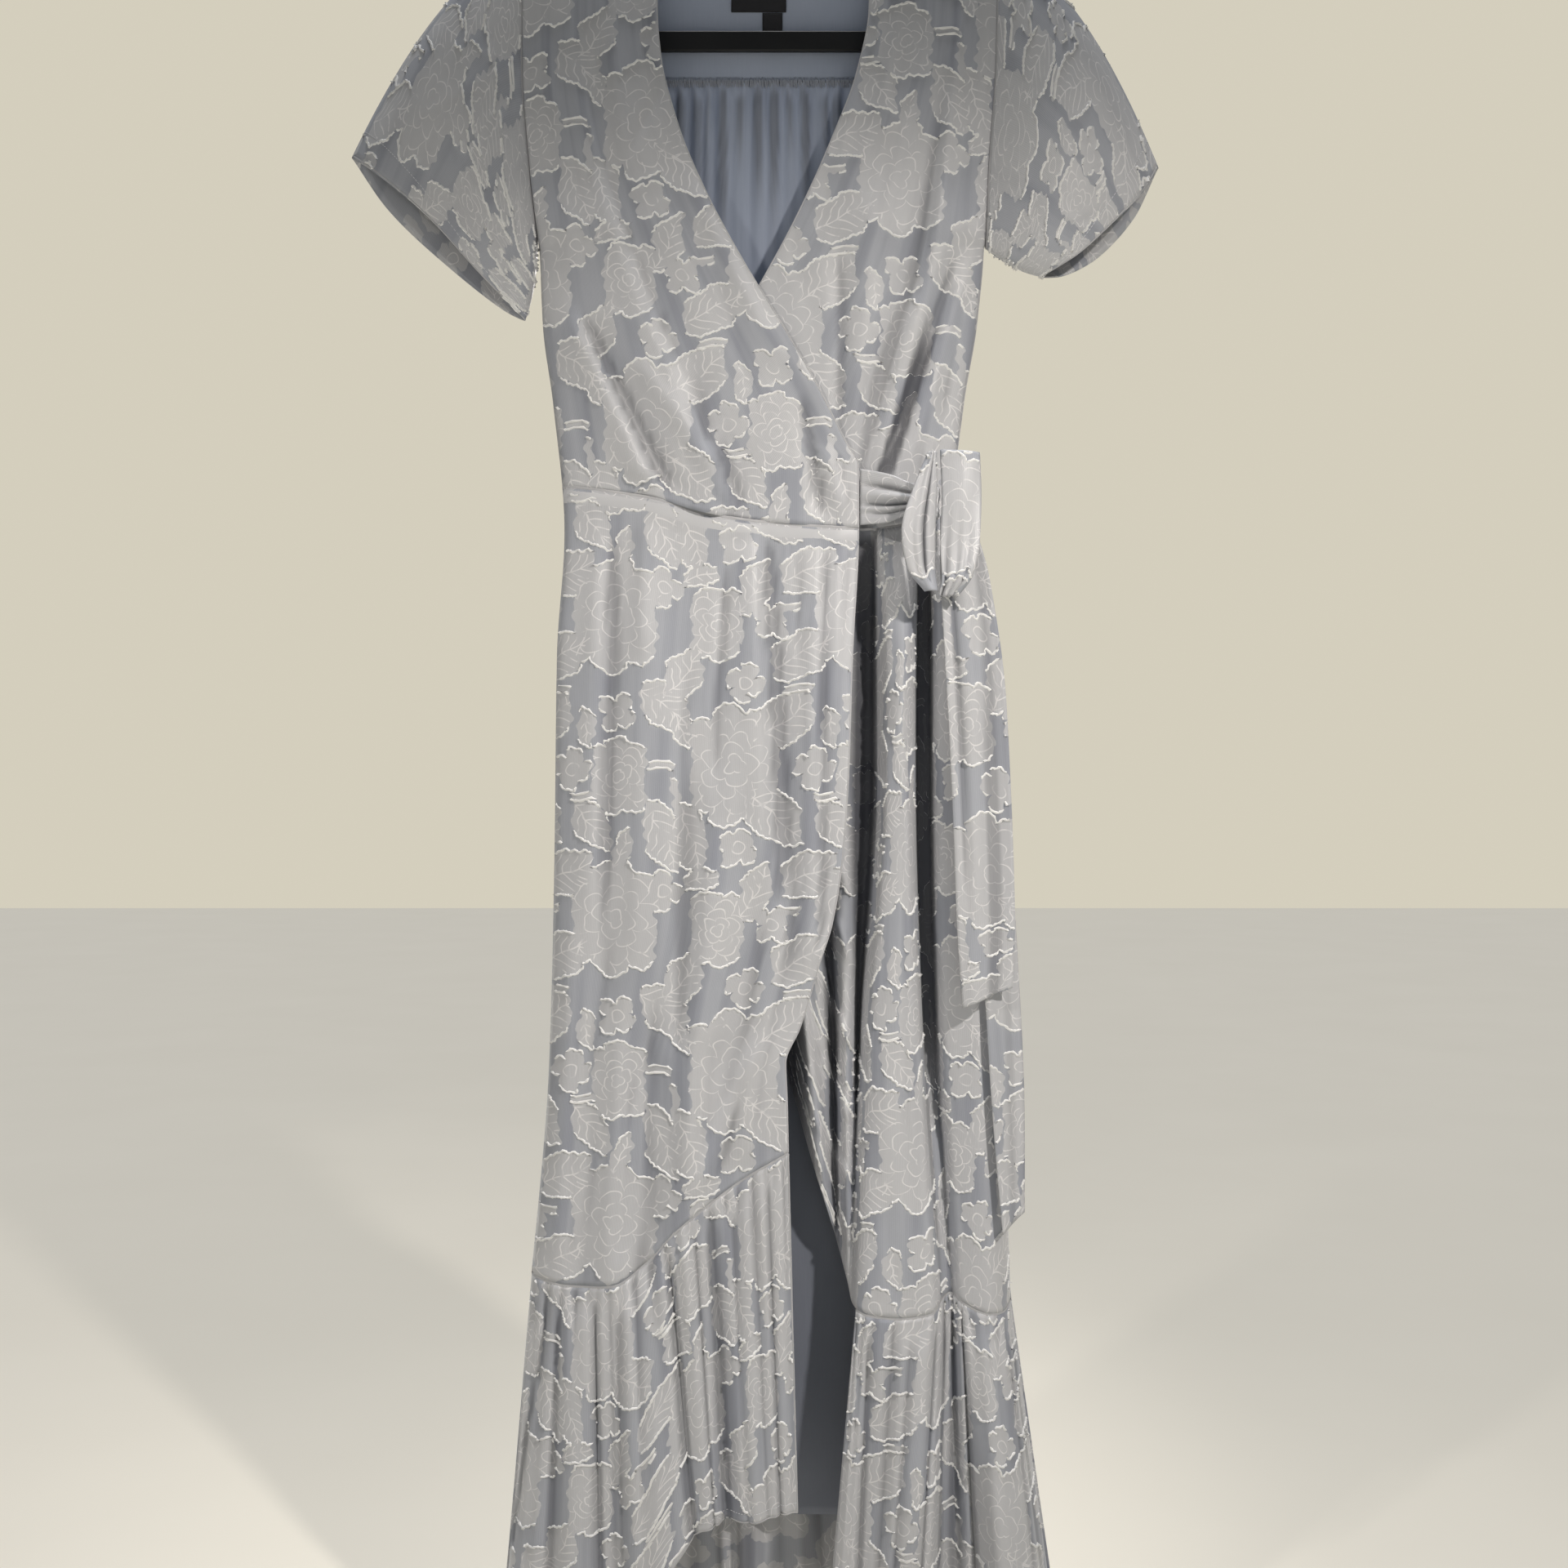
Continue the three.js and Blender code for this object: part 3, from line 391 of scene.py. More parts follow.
innerCreases = laidCreases([
    (28, 960, 52, 1150, 7, 4, 3.2), (40, 980, 62, 1190, 4, 5, -2.4), (20, 900, 44, 1060, 6, 4, 2.6),
    (158, 700, 168, 1000, 6, 5, 2.0), (112, 800, 116, 1100, 4, 4, 1.6), (60, 690, 79, 742, 3.5, 2.5, 2.6),
    (58, 742, 76, 790, 3, 3, 2.4), (62, 800, 76, 838, 3, 2.5, 2.6), (50, 842, 74, 900, 4, 3, 2.8),
    (56, 905, 72, 948, 3, 2.5, 2.4), (44, 950, 70, 1010, 4, 3, 2.8), (50, 1020, 66, 1064, 3, 3, 2.4),
    (40, 1060, 66, 1110, 4, 3, 2.6),
], smallCreases(9, 200, 1.1))
innerLevels = (602, 800, 1000, 1205)      # how far down the table's waist, high, low and foot lie
innerOuts = ("outHigh", "outHigh", "outLow", "outFoot")
trough = {"rim": 17, "floor": 10, "deeper": 9}


def innerColumns(u, names):
    order = np.linspace(0, 1, len(innerSkirtFolds["key"]))
    return np.array([through(order, innerSkirtFolds[name], u) for name in names])


def hollowAt(u, v):
    # how deep in one of the inner skirt's two troughs a place lies, 0 to 1; it deepens the troughs and also
    # sets their painted shade
    down = mix(innerLevels[0], innerLevels[-1], v)
    out = through(innerLevels, innerColumns(u, innerOuts), down)
    return ease(trough["rim"], trough["floor"], out) * ease(-0.01, 0.02, v) * ease(0.93, 0.8, u)


def innerSkirt(u, v):
    u, v = np.broadcast_arrays(np.asarray(u, float), np.asarray(v, float))
    shape, u, v = u.shape, u.ravel(), v.ravel()
    seam, end = innerColumns(u, ("waist", "end"))
    down = mix(read(waistSeam, "down", seam) + seamGap, end, v)
    across = through(innerLevels, innerColumns(u, ("waist", "high", "low", "foot")), down)
    folded = through(innerLevels, innerColumns(u, innerOuts), down)
    out = mix(depthAt(across, down, 1, 0), folded, ease(0, 0.16, v))
    out = out + innerCreases(across, down) * inward(v, 0.05, 0.05) * inward(u, 0.04, 0.07)
    out = out - trough["deeper"] * hollowAt(u, v)
    return across.reshape(shape), out.reshape(shape), down.reshape(shape)


outerFlounceWaves = table("seam hem out", [
    [0, 0, 0], [0.05, 0.045, 6], [0.09, 0.1, 9], [0.125, 0.16, -4], [0.2, 0.25, 9], [0.28, 0.36, -6],
    [0.36, 0.44, 6], [0.44, 0.53, 10], [0.54, 0.66, 3], [0.61, 0.71, 5], [0.69, 0.76, -7],
    [0.79, 0.85, 7], [0.91, 0.94, 1], [1, 1, 6],
])


def backWaves(count=9):
    rows = []
    for i in range(2 * count + 1):
        t = i / (2 * count)
        drift = 0.012 * math.sin(7 * t * math.pi) + 0.008 * math.sin(11 * t * math.pi + 1)
        side = min(1, 6 * t, 6 * (1 - t))
        rows.append([t, t + drift * side, side * (8 + 2 * math.sin(i * 1.7) if i % 2 else -6)])
    return table("seam hem out", rows)


pucker = {"high": 1.9, "reach": 0.24, "folds": 0.36, "foldHigh": 2.4}


def puckers(u, v, count):
    # fine gathers just under a seam
    uneven = 0.22 * np.sin(2 * np.pi * 3.1 * u + 0.7) + 0.12 * np.sin(2 * np.pi * 7.7 * u)
    fine = ease(-0.004, 0.03, v) * np.exp(-v / pucker["reach"]) * np.sin(2 * np.pi * (count * u + uneven))
    # long folds below them, with broad crests and narrow valleys
    fold = 2 * np.abs(np.sin(np.pi * (pucker["folds"] * count * u + 1.8 * uneven + 0.2))) ** 0.7 - 1
    long = pucker["foldHigh"] * ease(0, 0.14, v) * (1 - 0.3 * v) * fold
    return pucker["high"] * inward(u, 0.03, 0.03) * (fine + long * inward(u, 0.05, 0.05))


def flounce(skirt, hemAcross, hemDown, waves, face, base, gatherCount):
    def surface(u, v):
        x0, out0, d0 = skirt(u, np.ones_like(u))
        across = hemAcross(through(waves["seam"], waves["hem"], u))
        down = mix(d0 + 1.2, hemDown(across, u), v)
        stand = base + through(waves["seam"], waves["out"], u)
        end = depthAt(across, down, face, stand)
        out = mix(out0, end, ease(-0.25, 0.8, v) * ease(-0.02, 0.12, v))
        return mix(x0, across, v), out + face * puckers(u, v, gatherCount), down
    return surface


outerFlounce = flounce(outerSkirt, lambda h: mix(-205, 27, h), lambda x, u: read(tulipHem, "down", x),
                       outerFlounceWaves, 1, layer, 21)
backFlounce = flounce(backSkirt, lambda h: mix(-207, 234, h),
                      lambda x, u: mix(1456, 1468, u) + 30 * np.sin(np.pi * u), backWaves(), -1, 0, 34)
innerFlounceWaves = table("order across out", [
    [0, 50, 40], [0.06, 60, 50], [0.14, 74, 44], [0.24, 92, 52], [0.33, 108, 60], [0.4, 122, 54],
    [0.46, 130, 44], [0.52, 138, 24], [0.58, 152, 19], [0.65, 168, 24], [0.71, 178, 40], [0.76, 185, 52],
    [0.84, 202, 44], [0.92, 220, 24], [1, 231, 2 * halfSeam],
])
innerFlounceFrom = 0.4     # the share of the inner skirt's hem where its flounce begins


def innerFlounce(u, v):
    x0, out0, d0 = innerSkirt(mix(innerFlounceFrom, 1, u), np.ones_like(u))
    across, out = read(innerFlounceWaves, "across", u), read(innerFlounceWaves, "out", u)
    down = mix(d0 + 1, mix(1452, 1468, u), v)
    return mix(x0, across, v), mix(out0, out, ease(0, 0.75, v)) + puckers(u, v, 19), down


rightSleeveHem = table("round across out down", [
    [0, -327.5, 0, 304], [0.1, -306, 9, 320], [0.25, -268, 13, 352], [0.4, -222, 9, 401], [0.5, -190, 0, 433],
    [0.6, -206, -9, 424], [0.75, -252, -13, 388], [0.9, -302, -9, 341], [1, -327.5, 0, 304],
])
leftSleeveHem = table("round across out down", [
    [0, 314, 0, 312], [0.1, 302, 10, 332], [0.25, 274, 18, 362], [0.4, 246, 14, 386], [0.5, 222, 0, 398],
    [0.6, 236, -8, 396], [0.75, 262, -13, 384], [0.9, 296, -9, 350], [1, 314, 0, 312],
])
sleeveForm = {"bulge": 22, "middle": 250, "top": 150}


def sleeve(side, hem, topBulge, underBulge, seed):
    creases = smallCreases(seed, 60, 1.0, 0.9)

    def surface(u, v):
        turn = 2 * np.pi * u
        wave, upper, lower = np.sin(turn), (1 + np.cos(turn)) / 2, (1 - np.cos(turn)) / 2
        down0 = mix(shoulderDown(shoulderEnds[0 if side < 0 else 1]), armhole["foot"], lower)
        x0 = read(form, "left" if side < 0 else "right", down0) + side * 0.5 * (2 + 3 * lower ** 4)
        out0 = np.sign(wave) * armhole["depth"] * np.abs(wave) ** armhole["round"]
        bulges = (side * mix(underBulge[0], topBulge[0], upper), sleeveForm["bulge"] * wave,
                  mix(underBulge[1], topBulge[1], upper))
        found = []
        for start, name, bulge in zip((x0, out0, down0), ("across", "out", "down"), bulges):
            end = read(hem, name, u)
            found.append((1 - v) ** 2 * start + 2 * v * (1 - v) * ((start + end) / 2 + bulge) + v ** 2 * end)
        x, out, down = found
        fine = creases(1.3 * (x - side * sleeveForm["middle"]), 3 * (down - sleeveForm["top"]))
        return x, out + np.sign(wave) * np.abs(wave) * fine * inward(v, 0.1, 0.1), down
    return surface


rightSleeve = sleeve(-1, rightSleeveHem, (-6, -72), (-4, 4), 11)
leftSleeve = sleeve(1, leftSleeveHem, (0, -71), (2, 8), 12)


def ribbon(rows, relief):
    # a length of the tie; relief gives how far its folds stand out at a side, -0.5 to 0.5, and v
    def surface(share, v):
        side = share - 0.5
        width = read(rows, "width", v)
        tilt, turn = np.radians(read(rows, "tilt", v)), np.radians(read(rows, "turn", v))
        across = read(rows, "across", v) + side * width * np.cos(tilt) * np.cos(turn)
        out = read(rows, "out", v) + side * width * np.sin(turn) + relief(side, v)
        return across, out, read(rows, "down", v) + side * width * np.sin(tilt) * np.cos(turn)
    return surface


def pleats(side, v, lines, start):
    # narrow folds along a ribbon: where across it each lies, how wide and how deep
    total = 0
    for middle, width, deep in lines:
        total = total + deep * ease(start - 0.35, start + 0.35, v) * np.exp(-((side - middle) / width) ** 2)
    return total


def crown(high, side):
    # how a rolled lobe stands up between its two edges
    return high * (0.25 - side * side)


alongRows = "along across out down width tilt turn"
strapPleats = [(0.12, 0.045, -9), (-0.22, 0.05, -5), (0.3, 0.04, -5), (-0.04, 0.07, 2.4), (0.21, 0.04, 2)]
leftPleats = [(0.14, 0.08, -8), (-0.2, 0.1, -2.4)]
rightPleats = [(-0.34, 0.07, -5), (-0.06, 0.08, -4), (0.22, 0.07, -4)]
tailPleats = [(-0.3, 0.05, -4), (0.1, 0.07, -1.6)]
tieStrap = ribbon(table(alongRows, [
    [0, 75.9, 25.9, 578, 44, 90, 0], [0.4, 96, 37, 581, 38, 92, 0], [0.8, 112, 46, 583, 25, 96, 0],
    [1, 120.1, 50, 584, 20, 98, 0],
]), lambda side, v: pleats(side, v, strapPleats, 0.2))
leftLobe = ribbon(table(alongRows, [
    [0, 129, 61, 550, 6, 0, 0], [0.25, 124, 64, 574, 17, 0, -14], [0.55, 118, 66, 612, 28, 0, -20],
    [0.8, 120, 65, 638, 23, 0, -18], [1, 128, 63, 656, 10, 0, -8],
]), lambda side, v: crown(20, side) + pleats(side, v, leftPleats, 0.15) * ease(1.0, 0.75, v))
rightLobe = ribbon(table(alongRows, [
    [0, 150, 60, 549, 30, 5, 0], [0.3, 151, 63, 582, 30, 3, 6], [0.6, 149.5, 66, 617, 30, 0, 10],
    [0.85, 147, 69, 645, 23, 0, 6], [1, 140.6, 64, 660, 14, 0, 0],
]), lambda side, v: crown(16, side) + pleats(side, v, rightPleats, 0.62) + 1.2 * np.sin(7 * v + 5 * side))
frontTail = ribbon(table(alongRows, [
    [0, 148, 54, 598, 24, 0, 0], [0.12, 155, 53, 646, 38, 0, -6], [0.35, 164, 52, 740, 46, 0, -8],
    [0.7, 170, 52, 880, 46, 0, -8], [1, 172, 52, 966, 42, -22, -8],
]), lambda side, v: 2.4 * np.cos(2 * np.pi * 1.4 * side + 2 * v)
                  + pleats(side, v, tailPleats, 0.1) * ease(0.9, 0.5, v))
backTail = ribbon(table(alongRows, [
    [0, 150, 49.6, 600, 20, 0, 0], [0.3, 170, 42, 760, 30, 0, -12], [0.7, 186, 38, 980, 30, 0, -20],
    [1, 194, 37, 1142, 26, -40, -24],
]), lambda side, v: 1.2 * np.cos(2 * np.pi * side + 3 * v))


def points(surface, u, v):
    u, v = np.broadcast_arrays(np.asarray(u, float), np.asarray(v, float))
    across, out, down = surface(u.ravel(), v.ravel())
    return np.stack([across, -out, -down], -1) * mm


def normals(surface, u, v, face, step=1e-3):
    u, v = np.asarray(u, float).ravel(), np.asarray(v, float).ravel()
    a = points(surface, np.clip(u + step, 0, 1), v) - points(surface, np.clip(u - step, 0, 1), v)
    b = points(surface, u, np.clip(v + step, 0, 1)) - points(surface, u, np.clip(v - step, 0, 1))
    n = np.cross(a, b)
    n /= np.maximum(np.linalg.norm(n, axis=1, keepdims=True), 1e-12)
    return n * -face


print("curves ready")


# Materials. One small class wraps a socket so that shader maths reads as plain sums.
class Wire:
    def __init__(self, tree, socket):
        self.tree, self.socket = tree, socket

    def math(self, operation, other=None, third=None):
        inputs = {i: value for i, value in enumerate((self, other, third)) if value is not None}
        return node(self.tree, "ShaderNodeMath", {"operation": operation}, inputs)

    def __add__(self, other):
        return self.math("ADD", other)

    def __mul__(self, other):
        return self.math("MULTIPLY", other)

    def __sub__(self, other):
        return self.math("SUBTRACT", other)

    def __rsub__(self, other):
        return node(self.tree, "ShaderNodeMath", {"operation": "SUBTRACT"}, {0: other, 1: self})

    __radd__, __rmul__ = __add__, __mul__


def node(tree, kind, settings=None, inputs=None, output=0):
    made = tree.nodes.new(kind)
    for name, value in (settings or {}).items():
        if name == "stops":
            ramp = made.color_ramp
            for element, (place, colour) in zip((ramp.elements[0], ramp.elements[1]), value):
                element.position, element.color = place, (*colour, 1)
        else:
            setattr(made, name, value)
    for name, value in (inputs or {}).items():
        socket = made.inputs[name]
        if isinstance(value, Wire):
            tree.links.new(value.socket, socket)
        else:
            socket.default_value = value
    return Wire(tree, made.outputs[output])


def blend(tree, factor, a, b, how="MIX"):
    settings = {"data_type": "RGBA", "blend_type": how, "clamp_factor": True}
    inputs = {0: factor, 6: a if isinstance(a, Wire) else (*a, 1), 7: b if isinstance(b, Wire) else (*b, 1)}
    return node(tree, "ShaderNodeMix", settings, inputs, 2)


def material(name, fixed, build):
    made = bpy.data.materials.new(name)
    made.use_nodes = True
    tree = made.node_tree
    shader = tree.nodes["Principled BSDF"]
    for socket, value in fixed.items():
        shader.inputs[socket].default_value = value
    for socket, value in build(tree).items():
        tree.links.new(value.socket, shader.inputs[socket])
    return made


def clothCoordinates(tree, scale=(1, 1, 1)):
    uv = node(tree, "ShaderNodeUVMap", {"uv_map": "cloth"})
    return node(tree, "ShaderNodeMapping", {}, {"Vector": uv, "Scale": scale})


def objectPlace(tree):
    return node(tree, "ShaderNodeTexCoord", {}, {}, 3)


def noise(tree, where, scale, detail=3.0, roughness=0.55):
    inputs = {"Vector": where, "Scale": scale, "Detail": detail, "Roughness": roughness}
    return node(tree, "ShaderNodeTexNoise", {}, inputs)


def bump(tree, height, strength, distance):
    return node(tree, "ShaderNodeBump", {}, {"Height": height, "Strength": strength, "Distance": distance})


def wave(tree, where, scale, direction="X"):
    return node(tree, "ShaderNodeTexWave", {"wave_type": "BANDS", "bands_direction": direction},
                {"Vector": where, "Scale": scale, "Distortion": 0.35, "Detail": 1.0}, 1)


def between(tree, value, low, high):
    # 0 to 1 as a value goes from low to high
    return node(tree, "ShaderNodeMapRange", {}, {"Value": value, "From Min": low, "From Max": high})


def paintShade(tree, colour, share, dark):
    # painted shade: blends the colour towards a dark one by the hollow attribute, in fold valleys, troughs,
    # gaps and inside the skirt where shade falls
    hollow = node(tree, "ShaderNodeAttribute", {"attribute_name": "hollow"}, {}, 2)
    return blend(tree, hollow * share, colour, dark)


def satinPatch(tree):
    where = clothCoordinates(tree)
    floats = noise(tree, clothCoordinates(tree, (1500, 90, 1)), 1.0, 2.0)
    crumple = noise(tree, where, 55.0, 5.0, 0.6)
    cloudy = noise(tree, where, 18.0, 3.0)
    colour = blend(tree, cloudy, (0.53, 0.54, 0.57), (0.62, 0.625, 0.645))
    colour = blend(tree, floats * 0.35, colour, (0.70, 0.70, 0.715))
    height = floats * 0.3 + crumple * 1.1
    return {"Base Color": colour, "Roughness": floats * 0.22 + 0.3, "Normal": bump(tree, height, 0.4, 0.0007)}


def fibre(grain, dark, pale, rough, relief):
    # a fine thread or wire: scale and detail of its noise, two colours, how rough it is at least and by how
    # much more, and strength and distance of its bump
    def build(tree):
        fuzz = noise(tree, objectPlace(tree), *grain)
        least, more = rough
        return {"Base Color": blend(tree, fuzz, dark, pale), "Roughness": fuzz * more + least,
                "Normal": bump(tree, fuzz, *relief)}
    return build


def seamCloth(tree):
    where = objectPlace(tree)
    fuzz = noise(tree, where, 700.0, 2.0)
    cloudy = noise(tree, where, 40.0, 2.0)
    colour = blend(tree, cloudy, (0.40, 0.405, 0.43), (0.58, 0.575, 0.585))
    return {"Base Color": colour, "Roughness": fuzz * 0.2 + 0.5, "Normal": bump(tree, fuzz, 0.3, 0.0003)}


def plainLining(tree):
    where = clothCoordinates(tree)
    ribs = wave(tree, where, 380.0)
    cloudy = noise(tree, where, 9.0, 4.0)
    streaks = noise(tree, clothCoordinates(tree, (700, 40, 1)), 1.0)
    colour = blend(tree, cloudy * 0.6 + streaks * 0.3, (0.42, 0.49, 0.625), (0.58, 0.635, 0.78))
    # painted shade: the hollow attribute darkens the lining in fold valleys and all over inside the skirt
    return {"Base Color": paintShade(tree, colour, 1.0, (0.07, 0.065, 0.072)), "Roughness": cloudy * 0.2 + 0.5,
            "Normal": bump(tree, ribs * 0.4 + streaks, 0.25, 0.0004)}


def wovenTape(tree):
    where = objectPlace(tree)
    ribs = wave(tree, where, 500.0, "Z")
    colour = blend(tree, ribs, (0.010, 0.010, 0.013), (0.030, 0.030, 0.036))
    return {"Base Color": colour, "Roughness": ribs * 0.2 + 0.6, "Normal": bump(tree, ribs, 0.4, 0.0003)}


def moulding(tree):
    where = objectPlace(tree)
    grain = noise(tree, where, 900.0, 2.0)
    marks = noise(tree, where, 30.0, 5.0)
    colour = blend(tree, marks, (0.002, 0.002, 0.002), (0.006, 0.006, 0.007))
    return {"Base Color": colour, "Roughness": marks * 0.25 + 0.38, "Normal": bump(tree, grain, 0.15, 0.0003)}


clippedThread = fibre((1400.0, 3.0), (0.84, 0.84, 0.84), (0.98, 0.98, 0.97), (0.75, 0.2), (0.6, 0.0004))
drawnThread = fibre((900.0, 2.0), (0.72, 0.73, 0.77), (0.86, 0.86, 0.89), (0.6, 0.2), (0.3, 0.0002))
sergeThread = fibre((900.0, 2.0), (0.34, 0.37, 0.44), (0.56, 0.59, 0.66), (0.6, 0.2), (0.4, 0.0003))
wireSteel = fibre((700.0, 3.0), (0.50, 0.50, 0.52), (0.68, 0.68, 0.70), (0.2, 0.15), (0.1, 0.0002))
finish = {
    "patch": material("satinPatch", {"Sheen Weight": 0.15, "Specular IOR Level": 0.55}, satinPatch),
    "thread": material("clippedThread", {"Sheen Weight": 0.3}, clippedThread),
    "line": material("drawnThread", {}, drawnThread),
    "seam": material("seamCloth", {"Sheen Weight": 0.2}, seamCloth),
    "serge": material("sergeThread", {"Sheen Weight": 0.2}, sergeThread),
    "lining": material("plainLining", {"Sheen Weight": 0.1}, plainLining),
    "label": material("wovenTape", {}, wovenTape),
    "moulding": material("hangerMoulding", {}, moulding),
    "steel": material("hookWire", {"Metallic": 1.0}, wireSteel),
}
print("materials ready")


# The flower cloth. Its repeat is charted here as a short list of shapes, all sizes in millimetres.
flowerCloth = {"wide": 190.0, "tall": 236.0, "lineWidth": 0.45}
rose, leaf, blossom, bar = 0, 1, 2, 3
motifColumns = ("kind", "x", "y", "turn", "long", "wide", "petals", "clip")
motifs = table(" ".join(motifColumns), [
    [rose, 50, 60, 20, 48.3, 0, 9, 34], [rose, 146, 178, -40, 46, 0, 8, 33],
    [rose, 36, 186, 70, 29.9, 0, 6, 20], [rose, 150, 68, 10, 31, 0, 7, 21],
    [leaf, 90, 24, -35, 32.2, 18.4, 0, 21], [leaf, 80, 98, 40, 34.5, 18.4, 0, 22],
    [leaf, 16, 116, 72, 29.9, 16.1, 0, 12], [leaf, 108, 144, -20, 31, 17.2, 0, 21],
    [leaf, 100, 210, -28, 32.2, 17.2, 0, 21], [leaf, 184, 114, 66, 31, 16.1, 0, 14],
    [leaf, 186, 14, 38, 29.9, 16.1, 0, 18], [leaf, 10, 226, -52, 27.6, 14.9, 0, 15],
    [leaf, 128, 106, 50, 25.3, 13.8, 0, 15], [leaf, 66, 158, -62, 25.3, 13.8, 0, 12],
    [blossom, 112, 62, 10, 17.3, 0, 4, 16], [blossom, 52, 124, 30, 16.2, 0, 4, 15],
    [blossom, 184, 158, 0, 16.2, 0, 4, 15], [blossom, 78, 184, 45, 15.1, 0, 4, 14],
    [blossom, 58, 232, 15, 16.2, 0, 4, 15], [blossom, 148, 18, 40, 16.2, 0, 4, 15],
    [leaf, 124, 30, 80, 17.2, 7.5, 0, 8], [leaf, 8, 30, 60, 19.5, 8, 0, 9],
    [leaf, 24, 148, -15, 19.5, 8, 0, 14], [leaf, 152, 126, -70, 18.4, 8, 0, 8],
    [bar, 4, 84, 90, 10.8, 3.2, 0, 10], [bar, 122, 84, 0, 13, 2.6, 0, 12],
    [bar, 122, 92, 0, 9.7, 2.4, 0, 9], [bar, 92, 172, 4, 9.7, 2.8, 0, 10],
    [bar, 100, 236, 0, 11.9, 2.6, 0, 11], [bar, 182, 60, 5, 9.7, 2.8, 0, 10],
])
scallops = {"high": 1.0, "across": 0.78, "down": 0.66}   # small ones along every outline
# how the weave strays from its chart: how far, and how fast along the cloth
stray = {"slow": (1.3, 0.19), "fast": (0.8, 0.51), "down": (1.1, 0.23)}
petalForms = {rose: {"hollow": 0.83, "crown": 0.17}, blossom: {"hollow": 0.52, "crown": 0.48}}
petalSharp = 0.6
farOff = 9.0           # further than any drawn line reaches, to rule it out at a place


def motif(i):
    return [float(motifs[name][i]) for name in motifColumns]


def petalRadius(kind, radius, petals, angle):
    # scallops, their hollows sharper than their crowns
    petal = petalForms[kind]
    return radius * (petal["hollow"] + petal["crown"] * np.abs(np.cos(petals * angle / 2)) ** petalSharp)


def leafBend(long, wide):
    # the radius of either flank of a leaf
    return (long ** 2 + wide ** 2) / (2 * wide)


def motifOutline(i, spacing=1.75):
    # points round one motif in the repeat's own frame, and how level the outline is at each
    kind, x, y, turn, long, wide, petals, clip = motif(i)
    reach = 2 * math.pi * long if kind in petalForms else 4 * (long + wide)
    t = np.linspace(0, 1, max(16, int(reach / spacing)))
    angle = 2 * np.pi * t
    if kind in petalForms:
        r = petalRadius(kind, long, petals, angle)
        px, py = r * np.cos(angle), r * np.sin(angle)
    elif kind == leaf:
        bend = leafBend(long, wide)
        px = long * np.where(t < 0.5, 4 * t - 1, 3 - 4 * t)
        py = (np.sqrt(np.maximum(bend ** 2 - px ** 2, 0)) - (bend - wide)) * np.where(t < 0.5, 1, -1)
    else:
        px = (long + wide) * np.sign(np.cos(angle)) * np.abs(np.cos(angle)) ** 0.5
        py = wide * np.sign(np.sin(angle)) * np.abs(np.sin(angle)) ** 0.7
    a = math.radians(turn)
    sx = x + np.clip(px * math.cos(a) - py * math.sin(a), -clip, clip)
    sy = y + px * math.sin(a) + py * math.cos(a)
    dx, dy = np.gradient(sx), np.gradient(sy)
    size = np.maximum(np.hypot(dx, dy), 1e-9)
    winding = np.sign(np.sum(sx * dy - sy * dx))
    lift = scallops["high"] * np.sin(scallops["across"] * sx) * np.sin(scallops["down"] * sy) * winding
    return sx + lift * dy / size, sy - lift * dx / size, np.abs(dx) / size


def split(tree, vector):
    parts = tree.nodes.new("ShaderNodeSeparateXYZ")
    tree.links.new(vector.socket, parts.inputs[0])
    return Wire(tree, parts.outputs[0]), Wire(tree, parts.outputs[1])


def lesser(a, b):
    return b if a is None else a.math("MINIMUM", b)


def roseLines(r, angle, long, petals):
    # rings of petals, each with its share of the rose's size, its count and its turn, and veins near the rim
    line = None
    for share, count, start in ((0.8, petals, 0.8), (0.56, petals - 1, 0.2), (0.36, 4, 1.1), (0.17, 3, 0)):
        scallop = (angle * (count / 2) + start).math("COSINE").math("ABSOLUTE").math("POWER", 0.7)
        ring = (r - (scallop * (0.34 * share * long) + 0.66 * share * long)).math("ABSOLUTE")
        line = lesser(line, ring)
    fan = ((angle + r * (0.3 / long)) * (petals / math.pi)).math("FRACT") - 0.5
    ray = fan.math("ABSOLUTE") * (math.pi / petals) * r
    return line.math("MINIMUM", ray + (1.0 - r.math("GREATER_THAN", 0.72 * long)) * farOff)


